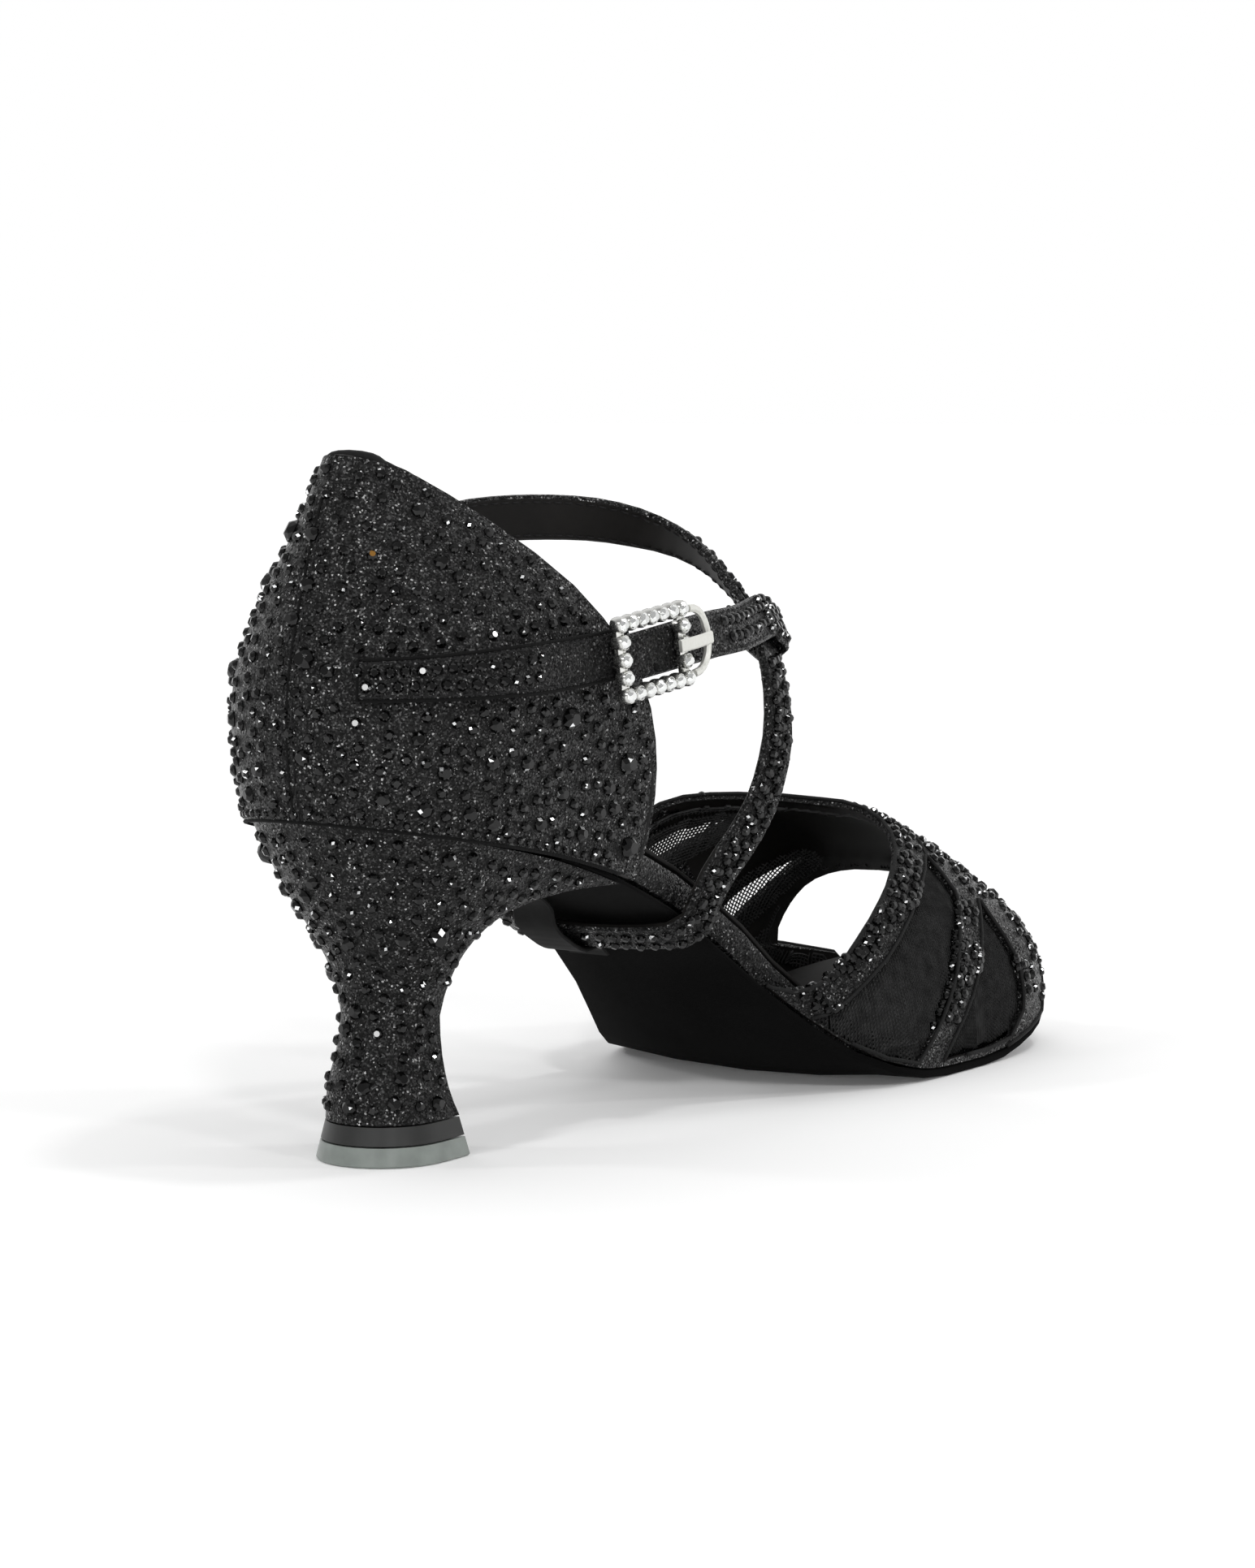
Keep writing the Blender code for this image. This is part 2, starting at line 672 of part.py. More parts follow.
def through(points, count):
    """Even points on a smooth curve through the given points."""
    pts = [np.array(p, float) for p in points]
    pts = [2 * pts[0] - pts[1]] + pts + [2 * pts[-1] - pts[-2]]
    fine = []
    for i in range(1, len(pts) - 2):
        p0, p1, p2, p3 = pts[i - 1], pts[i], pts[i + 1], pts[i + 2]
        for q in range(16):
            t = q / 16
            square = (2 * p0 - 5 * p1 + 4 * p2 - p3) * t * t
            cube = (3 * p1 - p0 - 3 * p2 + p3) * t ** 3
            fine.append(0.5 * (2 * p1 + (p2 - p0) * t + square + cube))
    fine.append(pts[-2])
    fine = np.array(fine)
    run = np.concatenate([[0], np.cumsum(np.linalg.norm(np.diff(fine[:, :3], axis=0), axis=1))])
    want = np.linspace(0, run[-1], count)
    return [np.array([np.interp(d, run, fine[:, k]) for k in range(fine.shape[1])]) for d in want]


def frames(rows):
    """(point, across, out) from rows of x, y, z and the direction the width leans to."""
    out = []
    for i, r in enumerate(rows):
        a = rows[max(i - 1, 0)][:3]
        b = rows[min(i + 1, len(rows) - 1)][:3]
        t = Vector(b - a).normalized()
        lean = Vector(r[3:6])
        w = (lean - t * lean.dot(t)).normalized()
        out.append((Vector(r[:3]), w, w.cross(t).normalized()))
    return out


def on_counter(along, up, lift, side=-1):
    """Place on a quarter, lifted off it: along is a share of LENGTH, up of BACK_HEIGHT over the seat."""
    x = along * LENGTH
    z = HEEL_RISE + up * BACK_HEIGHT
    y = counter_y(x, z)
    e = 0.4
    slope = (counter_y(x + e, z) - counter_y(x - e, z)) / (2 * e)
    rise = (counter_y(x, z + 3) - counter_y(x, z - 3)) / 6
    n = Vector((-slope, 1.0, -rise)).normalized()
    n.y *= side
    p = Vector((x, y * side, z)) + n * lift
    return (p.x, p.y, p.z, 0.0, -rise * side, -1.0)


# Long strap: from the medial quarter over the instep, down the lateral side, under the arch and up again;
# x share of LENGTH, y of BALL_WIDTH, z of BACK_HEIGHT over the sole line, ax and az the lean of its width
LONG_STRAP = table(
    "x y z ax az",
    (0.2812, 0.3634, 0.9369, 0.3500, -0.9000),
    (0.3661, 0.2894, 1.1006, 0.6000, -0.8000),
    (0.4554, 0.1682, 1.2881, 0.6200, -0.7800),
    (0.5022, 0.0404, 1.3792, 0.6200, -0.7800),
    (0.5089, -0.0808, 1.3411, 0.6500, -0.7500),
    (0.5045, -0.1750, 1.2530, 0.7000, -0.7000),
    (0.5000, -0.2423, 1.1695, 0.7500, -0.6500),
    (0.4955, -0.2961, 1.0937, 0.8000, -0.6000),
    (0.4911, -0.3499, 0.9554, 0.8000, -0.6000),
    (0.4866, -0.3769, 0.8172, 0.8000, -0.6000),
    (0.4821, -0.3809, 0.6948, 0.8200, -0.5700),
    (0.4688, -0.3701, 0.5163, 0.8400, -0.5400),
    (0.4509, -0.3472, 0.3569, 0.8400, -0.5400),
    (0.4286, -0.3271, 0.2137, 0.8400, -0.5400),
    (0.4129, -0.3163, 0.1094, 0.8500, -0.5300),
    (0.4036, -0.3082, 0.0249, 0.8570, -0.5150),
    (0.3982, -0.2907, -0.0292, 0.8570, -0.5150),
    (0.3942, -0.2423, -0.0506, 0.8570, -0.5150),
    (0.3929, -0.1346, -0.0656, 0.8570, -0.5150),
    (0.3929, 0.0000, -0.0718, 0.8570, -0.5150),
    (0.3929, 0.1346, -0.0656, 0.8570, -0.5150),
    (0.3942, 0.2476, -0.0506, 0.8570, -0.5150),
    (0.3955, 0.2974, -0.0310, 0.8570, -0.5150),
    (0.3964, 0.3163, 0.0300, 0.8570, -0.5150),
    (0.3906, 0.3338, 0.1055, 0.8500, -0.5300),
    (0.3661, 0.3607, 0.1991, 0.8000, -0.6000),
)


def strap_place(x, y, z):
    """Place by shares of LENGTH and BALL_WIDTH, and of BACK_HEIGHT over the sole line."""
    return x * LENGTH, y * BALL_WIDTH, base_z(x * LENGTH) + z * BACK_HEIGHT


ON_WALL = GAP + STRAP_T / 2 + 0.45
path_rows = [on_counter(x, z, ON_WALL, 1) for x, z in ((0.1116, 0.6500), (0.1473, 0.6531), (0.1875, 0.6625))]
path_rows += [
    (*strap_place(x, y, z), ax, 0.0, az)
    for x, y, z, ax, az in zip(*(LONG_STRAP[k] for k in ("x", "y", "z", "ax", "az")))
]
path_rows += [on_counter(x, z, ON_WALL, 1) for x, z in ((0.3036, 0.0938), (0.2679, 0.2031), (0.2366, 0.2969))]
long_path = frames(through(path_rows, 68))
long_strap = strip("long_strap", long_path, STRAP_WIDTH, STRAP_T, GLITTER)

# Tab strap sewn on the lateral quarter
TAB_LINE = table(
    "x z",
    (0.0143, 0.4031),
    (0.0223, 0.4031),
    (0.0402, 0.4047),
    (0.0625, 0.4078),
    (0.0938, 0.4141),
    (0.1339, 0.4219),
    (0.1786, 0.4312),
    (0.2232, 0.4406),
    (0.2589, 0.4516),
)
tab_rows = [on_counter(x, z, GAP + TAB_T / 2 + 0.3) for x, z in zip(TAB_LINE["x"], TAB_LINE["z"])]
tab_path = frames(through(tab_rows, 22))
tab_strap = strip(
    "tab_strap", tab_path, lambda t: LOOP_WIDTH * (0.84 + 0.18 * smooth(0.0, 0.6, t)), TAB_T, GLITTER
)

# Loop strap: x share of LENGTH, out in mm off the line of the quarter, z share of BACK_HEIGHT over the seat
LOOP_LINE = table(
    "x out z",
    (0.2344, 3.3, 0.4312),
    (0.2723, 3.4, 0.4469),
    (0.3170, 3.5, 0.4656),
    (0.3661, 3.0, 0.4828),
    (0.4196, 1.5, 0.4937),
)

# Loop strap folded round the long strap, its end under the buckle
crossing = Vector(strap_place(0.4964, -0.2894, 1.1167))
near = min(long_path, key=lambda f: (f[0] - crossing).length)
c0, across, out = near
if out.y > 0:
    out = -out
if across.x < 0:
    across = -across
tangent = across.cross(out)
off = STRAP_T / 2 + TAB_T / 2 + 1.3
reach = STRAP_WIDTH / 2 + 0.5
loop_pts = []
for x, out_by, z in zip(LOOP_LINE["x"], LOOP_LINE["out"], LOOP_LINE["z"]):
    height = HEEL_RISE + z * BACK_HEIGHT
    loop_pts.append((x * LENGTH, -counter_y(x * LENGTH, height) - out_by, height))
fold = c0 + across * reach
loop_pts += [tuple(c0 - across * 3.0 + out * off), tuple(c0 + out * off), tuple(fold + out * off)]
for k in (30, 65, 115, 150):
    a = math.radians(k)
    loop_pts.append(tuple(fold + out * off * math.cos(a) + across * off * math.sin(a)))
loop_pts += [tuple(fold - out * off), tuple(c0 - out * off), tuple(c0 - across * 6.0 - out * off)]
down = Vector((0, 0, -1))
if tangent.z > 0:
    tangent = -tangent
lean = []
for i in range(len(loop_pts)):
    k = smooth(1, 5, i) * 0.85
    lean.append(tuple((down * (1 - k) + tangent * k).normalized()))
loop_rows = [tuple(q) + v for q, v in zip(loop_pts, lean)]
loop_path = frames(through(loop_rows, 40))
loop_strap = strip("loop_strap", loop_path, LOOP_WIDTH, TAB_T, GLITTER)

# Elastic keeper: holds the long strap to the sole under the arch; x share of LENGTH, over tells how far
# it rises from lying on the sole (0) to lying on the strap (1)
KEEPER = table(
    "x over",
    (0.3393, 0.000),
    (0.3482, 0.012),
    (0.3594, 0.224),
    (0.3674, 0.741),
    (0.3795, 0.976),
    (0.3929, 1.000),
    (0.4062, 0.953),
    (0.4188, 0.741),
    (0.4286, 0.247),
    (0.4353, 0.059),
    (0.4442, 0.059),
)
KEEPER_SIDE = 0.101
KEEPER_LIE = KEEPER_T / 2 + GAP + 0.25
KEEPER_OVER = STRAP_T + 2 * GAP + 2.05
keeper_rows = []
for s, over in zip(KEEPER["x"], KEEPER["over"]):
    p, n = base(s)
    crown = curve(SOLE, "s", "crown", s) * HEEL_RISE
    q = p - n * (KEEPER_LIE + over * KEEPER_OVER + crown * 0.9)
    keeper_rows.append((q.x, KEEPER_SIDE * BALL_WIDTH, q.z, 0.0, 1.0, 0.0))
keeper = strip("elastic_keeper", frames(through(keeper_rows, 22)), KEEPER_WIDTH, KEEPER_T, ELASTIC)

# Buckle: a rounded rectangle frame, a bent wire on its front bar, a flat prong
BUCKLE_AT = Vector(on_counter(0.2661, 0.4422, 5.47)[:3])
BUCKLE_U = Vector((0.993, 0.0, 0.118)).normalized()
BUCKLE_N = Vector((0.02, -1.0, 0.05))
BUCKLE_N = (BUCKLE_N - BUCKLE_U * BUCKLE_N.dot(BUCKLE_U)).normalized()
BUCKLE_V = BUCKLE_N.cross(BUCKLE_U)
if BUCKLE_V.z < 0:
    BUCKLE_V = -BUCKLE_V


def tube(name, path, across_r, out_r, out_dir, mat, sides=8, closed=False):
    rings = []
    n = len(path)
    for i, p in enumerate(path):
        a = path[(i - 1) % n] if closed else path[max(i - 1, 0)]
        b = path[(i + 1) % n] if closed else path[min(i + 1, n - 1)]
        t = (b - a).normalized()
        side = t.cross(out_dir).normalized()
        turn = [2 * math.pi * (k + 0.5) / sides for k in range(sides)]
        rings.append([p + side * across_r * math.cos(a) + out_dir * out_r * math.sin(a) for a in turn])
    return loft(name, rings, mat, closed, flat=50.0)


hu = (BUCKLE_LENGTH - BUCKLE_ROD) / 2
hv = (BUCKLE_HEIGHT - BUCKLE_ROD) / 2
loop = []
for su, sv, a0 in ((1, 1, 0), (-1, 1, 90), (-1, -1, 180), (1, -1, 270)):
    for q in range(4):
        a = math.radians(a0 + 30 * q)
        r = 1.4
        along = su * (hu - r) + r * math.cos(a)
        up = sv * (hv - r) + r * math.sin(a)
        loop.append(BUCKLE_AT + BUCKLE_U * along + BUCKLE_V * up)
buckle = tube("buckle_frame", loop, BUCKLE_ROD / 2 * 0.92, BUCKLE_ROD / 2 * 0.78, BUCKLE_N, SILVER, 8, True)

# Bent wire on the front bar and the flat prong hooked on it
wire = []
for i in range(13):
    a = math.radians(-90 + 180 * i / 12)
    u = hu + 5.3 * max(math.cos(a), 0.0) ** 0.8
    wire.append(BUCKLE_AT + BUCKLE_U * (u + 1.34 + WIRE_R + GAP) + BUCKLE_V * (5.9 * math.sin(a)))
wire_obj = tube("buckle_wire", wire, WIRE_R, WIRE_R, BUCKLE_N, SILVER, 8)
prong_pts = []
for u, n in ((hu - 3.6, 1.9), (hu - 1.6, 2.15), (hu + 1.5, 2.15), (hu + 5.0, 1.75), (hu + 6.9, 1.45)):
    prong_pts.append(BUCKLE_AT + BUCKLE_U * u + BUCKLE_N * n)
prong_rows = [np.array(tuple(q) + tuple(BUCKLE_V)) for q in prong_pts]
prong = strip("buckle_prong", frames(prong_rows), 2.3, PRONG_T, SILVER)

# Stand the shoe over the middle of its own bounding box
low = Vector((1e9, 1e9, 0.0))
high = Vector((-1e9, -1e9, 0.0))
for obj in SHOE.objects:
    for v in obj.data.vertices:
        low = Vector((min(low.x, v.co.x), min(low.y, v.co.y), 0.0))
        high = Vector((max(high.x, v.co.x), max(high.y, v.co.y), 0.0))
middle = (low + high) / 2
for obj in SHOE.objects:
    for v in obj.data.vertices:
        v.co -= middle
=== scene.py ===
"""Looks of the ballroom sandal: glitter cloth, stones, net, lining, seams, buckle, camera and light."""

import math
import random

import bmesh
import bpy
import numpy as np
from mathutils import Matrix, Vector
from mathutils.bvhtree import BVHTree
from mathutils.kdtree import KDTree


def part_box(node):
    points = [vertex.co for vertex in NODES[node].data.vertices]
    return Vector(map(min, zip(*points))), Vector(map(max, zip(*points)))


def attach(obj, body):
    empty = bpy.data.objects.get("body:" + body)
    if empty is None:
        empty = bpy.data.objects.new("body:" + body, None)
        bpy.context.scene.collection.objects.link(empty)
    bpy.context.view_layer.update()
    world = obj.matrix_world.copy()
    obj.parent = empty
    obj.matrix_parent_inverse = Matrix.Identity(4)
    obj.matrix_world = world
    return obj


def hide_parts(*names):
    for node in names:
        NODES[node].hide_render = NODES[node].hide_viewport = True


MM = 0.001

# Camera: what it looks at, its bearing and height angle, its distance and its lens on a 36 mm sensor
AIM = Vector((-18.41, -5.51, 61.29)) * MM
AZIMUTH = -54.68
ELEVATION = 5.26
DISTANCE = 767.25 * MM
LENS = 116.84

# Stones, in millimetres: radius and height of the small, middle and large ones and of the beads
SMALL, MIDDLE, LARGE = STONE_SIZES = ((1.05, 0.85), (1.5, 1.1), (2.15, 1.5))
BEAD = (0.72, 0.6)
# Scatter: draws that large and middle stones take, share of tries that may place them, room in millimetres
LARGE_BELOW = 0.045
MIDDLE_BELOW = 0.22
EARLY_SHARE = 0.35
STONE_ROOM = 1.0
RIM_ROOM = 1.0
NODE_ROOM = 1.6
# Share of stones that get one facet of painted flash highlight
PAINTED_FLASH_SHARE = 0.75
AMBER_AT = Vector((-101.0, -10.8, 106.8)) * MM

# Cloth, net and edges, in millimetres
FLAKE = 0.30
NET_PITCH = 0.82
NET_THREAD = 0.30
NET_MARGIN = 3.4
NET_ANGLES = [3.5 + 0.5 * i for i in range(346)]
BINDING_RADIUS = 1.1
BINDING_SUNK = 0.85
PIPING_RADIUS = 0.42
# Radius of the painted shade line where counter and heel meet
JOINT_SHADE_RADIUS = 0.32
BEAD_PITCH = 1.9
BAND_WIDTH = 8.0
SPAN_STEP = 0.4
RIM_ANGLE = 50
RIM_STEP = 1.2
HOLE_RADIUS = 0.75
HOLE_AT = Vector((-49.2, -33.6, 85.9)) * MM

# A place on each strap and the way to walk from it: over the instep, under the shank, tab and loop
OVER_AT, OVER_WAY = (-0.8, -29.1, 77.4), (0, 0, 1)
UNDER_AT, UNDER_WAY = (-23.7, -8.0, 33.0), (0, 1, 0)
TAB_AT, TAB_WAY = (-91.9, -28.4, 90.4), (1, -0.3, 0)
LOOP_AT, LOOP_WAY = (-45.0, -33.4, 89.5), (1, 0, 0.1)

# Buckle: distance between the corner cups, cups per side, and the cup's outline as radius and height
BUCKLE_WIDTH = 18.6
BUCKLE_HEIGHT = 12.6
CUPS_ACROSS = 6
CUPS_UP = 4
CUP_SIDES = 14
CUP_RINGS = ((1.28, -1.3), (1.5, -0.75), (1.5, 0.5), (1.34, 0.95), (1.18, 0.95), (1.15, 0.5))
CRYSTAL_SIZE = (1.26, 0.95)

# Studio: share of the white backdrop's light that comes from the camera's side, and the lamps there
DIM_SIDE = 0.42
FLOOR_HALF = 30.0
LAMP_SIZE = 0.13
LAMP_AIM = Vector((0, 0, 0.05))
LAMPS = (
    ((-0.95, -0.80, 1.05), 3.4),
    ((-0.30, -1.30, 0.80), 2.4),
    ((-1.30, 0.10, 0.75), 2.4),
    ((-0.95, -1.15, 0.35), 1.6),
    ((0.70, -1.10, 0.90), 2.2),
    ((-0.75, 0.95, 0.85), 2.0),
    ((0.15, -0.45, 1.45), 2.6),
    ((-1.30, -0.45, 0.25), 1.2),
)

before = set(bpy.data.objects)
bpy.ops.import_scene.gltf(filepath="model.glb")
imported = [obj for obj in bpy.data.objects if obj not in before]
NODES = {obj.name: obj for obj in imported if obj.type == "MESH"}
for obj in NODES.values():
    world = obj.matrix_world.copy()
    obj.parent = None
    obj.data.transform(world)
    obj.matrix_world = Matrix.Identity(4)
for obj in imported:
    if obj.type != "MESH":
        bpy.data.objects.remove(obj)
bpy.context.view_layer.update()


# Materials
def shader(name, colour, rough, metal=0.0, **sockets):
    """A Principled material with constant values on its sockets."""
    mat = bpy.data.materials.new(name)
    mat.use_nodes = True
    bsdf = mat.node_tree.nodes["Principled BSDF"]
    bsdf.inputs["Base Color"].default_value = (*colour, 1.0)
    bsdf.inputs["Roughness"].default_value = rough
    bsdf.inputs["Metallic"].default_value = metal
    for key, value in sockets.items():
        bsdf.inputs[key.replace("_", " ")].default_value = value
    return mat


class Nodes:
    """Short way to add and join nodes of one material."""

    def __init__(self, mat):
        self.tree = mat.node_tree
        self.bsdf = self.tree.nodes["Principled BSDF"]

    def add(self, kind, **values):
        node = self.tree.nodes.new(kind)
        for key, value in values.items():
            if key in node.inputs:
                node.inputs[key].default_value = value
            else:
                setattr(node, key, value)
        return node

    def join(self, a, out, b, into):
        self.tree.links.new(a.outputs[out], b.inputs[into])

    def place(self):
        return self.add("ShaderNodeTexCoord")

    def noise(self, scale, detail=3.0):
        node = self.add("ShaderNodeTexNoise", Scale=scale, Detail=detail)
        self.join(self.place(), "Object", node, "Vector")
        return node

    def ramp(self, stops, constant=False):
        node = self.add("ShaderNodeValToRGB")
        ramp = node.color_ramp
        ramp.interpolation = "CONSTANT" if constant else "LINEAR"
        while len(ramp.elements) < len(stops):
            ramp.elements.new(0.5)
        for element, (at, value) in zip(ramp.elements, stops):
            element.position = at
            element.color = value if len(value) == 4 else (*value, 1.0)
        return node

    def bump(self, source, out, strength, distance):
        node = self.add("ShaderNodeBump", Strength=strength, Distance=distance)
        self.join(source, out, node, "Height")
        return node


def grey(v):
    """Neutral colour of one value."""
    return (v, v, v)


def glitter(name, lift):
    """Black cloth covered with fine flakes that each lean their own way."""
    mat = shader(name, grey(0.02), 0.36, 0.6, **{"Specular IOR Level": 0.12})
    n = Nodes(mat)
    cells = n.add("ShaderNodeTexVoronoi", Scale=1 / (FLAKE * MM))
    n.join(n.place(), "Object", cells, "Vector")
    split = n.add("ShaderNodeSeparateColor")
    n.join(cells, "Color", split, "Color")
    shades = ((0.0, 0.006), (0.40, 0.012), (0.68, 0.026), (0.88, 0.07), (0.975, 0.32))
    ramp = n.ramp([(at, grey(v * lift)) for at, v in shades], constant=True)
    n.join(split, "Red", ramp, "Fac")
    n.join(ramp, "Color", n.bsdf, "Base Color")
    lean = n.add("ShaderNodeVectorMath", operation="MULTIPLY_ADD")
    lean.inputs[1].default_value = (0.9, 0.9, 0.9)
    lean.inputs[2].default_value = (-0.45, -0.45, -0.45)
    n.join(cells, "Color", lean, 0)
    facing = n.add("ShaderNodeNewGeometry")
    total = n.add("ShaderNodeVectorMath", operation="ADD")
    n.join(lean, "Vector", total, 0)
    n.join(facing, "Normal", total, 1)
    unit = n.add("ShaderNodeVectorMath", operation="NORMALIZE")
    n.join(total, "Vector", unit, 0)
    n.join(unit, "Vector", n.bsdf, "Normal")
    return mat


def leather(name, colour, rough, grain=0.35):
    """Thin lining leather with a fine grain."""
    mat = shader(name, colour, rough, **{"Specular IOR Level": 0.2})
    n = Nodes(mat)
    cells = n.add("ShaderNodeTexVoronoi", Scale=1 / (grain * MM), feature="DISTANCE_TO_EDGE")
    n.join(n.place(), "Object", cells, "Vector")
    bump = n.bump(cells, "Distance", 0.35, 0.05 * MM)
    n.join(bump, "Normal", n.bsdf, "Normal")
    cloud = n.noise(90)
    ramp = n.ramp([(0.3, tuple(c * 0.75 for c in colour)), (0.7, tuple(c * 1.3 for c in colour))])
    n.join(cloud, "Fac", ramp, "Fac")
    n.join(ramp, "Color", n.bsdf, "Base Color")
    return mat


def suede(name):
    """Napped sole leather, nearly black, with brushed patches."""
    sheen = {"Specular IOR Level": 0.04, "Sheen Weight": 0.01, "Sheen Roughness": 0.6}
    mat = shader(name, grey(0.002), 0.95, **sheen)
    n = Nodes(mat)
    nap = n.noise(2600, 4)
    bump = n.bump(nap, "Fac", 0.5, 0.12 * MM)
    n.join(bump, "Normal", n.bsdf, "Normal")
    cloud = n.noise(60, 4)
    ramp = n.ramp([(0.35, grey(0.0012)), (0.7, grey(0.0028))])
    n.join(cloud, "Fac", ramp, "Fac")
    n.join(ramp, "Color", n.bsdf, "Base Color")
    return mat


def cloth(name, colour, rough, pitch):
    """Plain woven cloth, for bindings, net threads and elastic."""
    mat = shader(name, colour, rough, **{"Specular IOR Level": 0.2})
    n = Nodes(mat)
    wave = n.add("ShaderNodeTexWave", Scale=1 / (pitch * MM) / 6.28, Distortion=0.6)
    n.join(n.place(), "Object", wave, "Vector")
    bump = n.bump(wave, "Fac", 0.4, 0.08 * MM)
    n.join(bump, "Normal", n.bsdf, "Normal")
    cloud = n.noise(400)
    ramp = n.ramp([(0.3, tuple(c * 0.7 for c in colour)), (0.7, tuple(c * 1.35 for c in colour))])
    n.join(cloud, "Fac", ramp, "Fac")
    n.join(ramp, "Color", n.bsdf, "Base Color")
    return mat


def polished(name, colour, rough, metal=1.0):
    """Cast metal with faint handling marks."""
    mat = shader(name, colour, rough, metal)
    n = Nodes(mat)
    marks = n.noise(1400, 2)
    ramp = n.ramp([(0.35, grey(rough * 0.8)), (0.7, grey(rough * 1.5))])
    n.join(marks, "Fac", ramp, "Fac")
    n.join(ramp, "Color", n.bsdf, "Roughness")
    return mat


def moulded(name, colour, rough, clear=0.0):
    """Heel tip plastic with a faint flow pattern."""
    mat = shader(name, colour, rough, **{"Transmission Weight": clear, "IOR": 1.45})
    n = Nodes(mat)
    flow = n.noise(240, 3)
    ramp = n.ramp([(0.35, tuple(c * 0.86 for c in colour)), (0.7, tuple(min(c * 1.12, 1) for c in colour))])
    n.join(flow, "Fac", ramp, "Fac")
    n.join(ramp, "Color", n.bsdf, "Base Color")
    bump = n.bump(n.noise(1500), "Fac", 0.12, 0.05 * MM)
    n.join(bump, "Normal", n.bsdf, "Normal")
    return mat


GLITTER = glitter("glitter", 1.25)
GLITTER_FINE = glitter("glitter_strap", 1.1)
LINING = leather("lining_leather", (0.0072, 0.0064, 0.0058), 0.62)
SOCK = leather("sock_leather", (0.0065, 0.006, 0.0057), 0.8, 0.5)
SUEDE = suede("sole_suede")
BINDING = cloth("binding", grey(0.006), 0.7, 0.4)
# Painted shade: near-black cloth laid as lines where shade falls in the heel joint, the back seam groove,
# along the tab's raised edges and in the strap hole
SEAM_SHADE = cloth("seam_shadow", grey(0.001), 0.9, 0.4)
THREAD = cloth("thread", (0.012, 0.012, 0.0125), 0.65, 0.3)
NET = cloth("net_thread", grey(0.040), 0.7, 0.5)
ELASTIC = cloth("elastic_cloth", grey(0.007), 0.75, 1.0)
STONE = shader("black_stone", grey(0.001), 0.05, 0.0, **{"IOR": 1.42})
AMBER = shader("amber_stone", (0.25, 0.12, 0.02), 0.05, 0.3)
# Painted highlight: a near-white metal facet that stands in for the flash of light off a black stone
PAINTED_FLASH = shader("painted_stone_flash", (0.92, 0.93, 0.94), 0.25, 1.0)
CRYSTAL = shader("clear_crystal", (0.84, 0.85, 0.84), 0.05, 0.9)
SILVER = polished("silver", (0.62, 0.62, 0.60), 0.20)
PEARL = polished("pearl_silver", (0.72, 0.72, 0.68), 0.42, 0.7)
TIP_DARK = moulded("tip_dark", (0.016, 0.0165, 0.016), 0.42)
TIP_CLEAR = moulded("tip_clear", (0.27, 0.30, 0.28), 0.32, 0.25)


# Helpers on the frame's meshes
TREES = {}


def tree(name):
    """Search tree over one node's faces."""
    if name not in TREES:
        bm = bmesh.new()
        bm.from_mesh(NODES[name].data)
        bmesh.ops.remove_doubles(bm, verts=bm.verts, dist=0.00001)
        bmesh.ops.triangulate(bm, faces=bm.faces)
        TREES[name] = BVHTree.FromBMesh(bm)
        bm.free()
    return TREES[name]


def triangles(name):
    """Corner points of one node's triangles."""
    mesh = NODES[name].data
    mesh.calc_loop_triangles()
    co = np.empty(len(mesh.vertices) * 3)
    mesh.vertices.foreach_get("co", co)
    idx = np.empty(len(mesh.loop_triangles) * 3, dtype=int)
    mesh.loop_triangles.foreach_get("vertices", idx)
    return co.reshape(-1, 3)[idx].reshape(-1, 3, 3)


def add_piece(name, verts, faces, mats, slot, picks=None, flat=False, replaces=()):
    """New mesh piece that rides with the shoe."""
    mesh = bpy.data.meshes.new(name)
    mesh.from_pydata([tuple(v) for v in verts], [], faces)
    for mat in mats:
        mesh.materials.append(mat)
    if picks is not None:
        mesh.polygons.foreach_set("material_index", picks)
    if not flat:
        mesh.shade_smooth()
    obj = bpy.data.objects.new(name, mesh)
    bpy.context.scene.collection.objects.link(obj)
    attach(obj, "root")
    for node in replaces:
        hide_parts(node)
    return obj


class Bag:
    """Collects many small meshes, with a material number for each face, into one piece."""

    def __init__(self):
        self.verts = []
        self.faces = []
        self.picks = []

    def put(self, verts, faces, place, pick=0):
        k = len(self.verts)
        self.verts += [place @ v for v in verts]
        self.faces += [tuple(i + k for i in f) for f in faces]
        self.picks += [pick] * len(faces)

    def done(self, name, mats, slot, **more):
        return add_piece(name, self.verts, self.faces, mats, slot, picks=self.picks, **more)


def dress(node, mats, slot, inside=lambda p, n: False):
    """The node's own form, smoothly shaded, with a lining on the faces that the test picks."""
    bm = bmesh.new()
    bm.from_mesh(NODES[node].data)
    bmesh.ops.remove_doubles(bm, verts=bm.verts, dist=0.00001)
    bm.normal_update()
    verts = [v.co.copy() for v in bm.verts]
    faces = [tuple(v.index for v in f.verts) for f in bm.faces]
    picks = [1 if inside(f.calc_center_median(), f.normal) else 0 for f in bm.faces]
    bm.free()
    obj = add_piece(node + "_cloth", verts, faces, mats, slot, picks, replaces=(node,))
    obj.data.set_sharp_from_angle(angle=math.radians(35))
    return obj


def basis(p, normal, along=None):
    """Matrix at p with Z on the normal and X near a direction."""
    z = normal.normalized()
    x = along if along is not None else Vector((0.31, 0.83, 0.46))
    x = (x - z * x.dot(z)).normalized()
    y = z.cross(x)
    m = Matrix((x, y, z)).transposed().to_4x4()
    m.translation = p
    return m


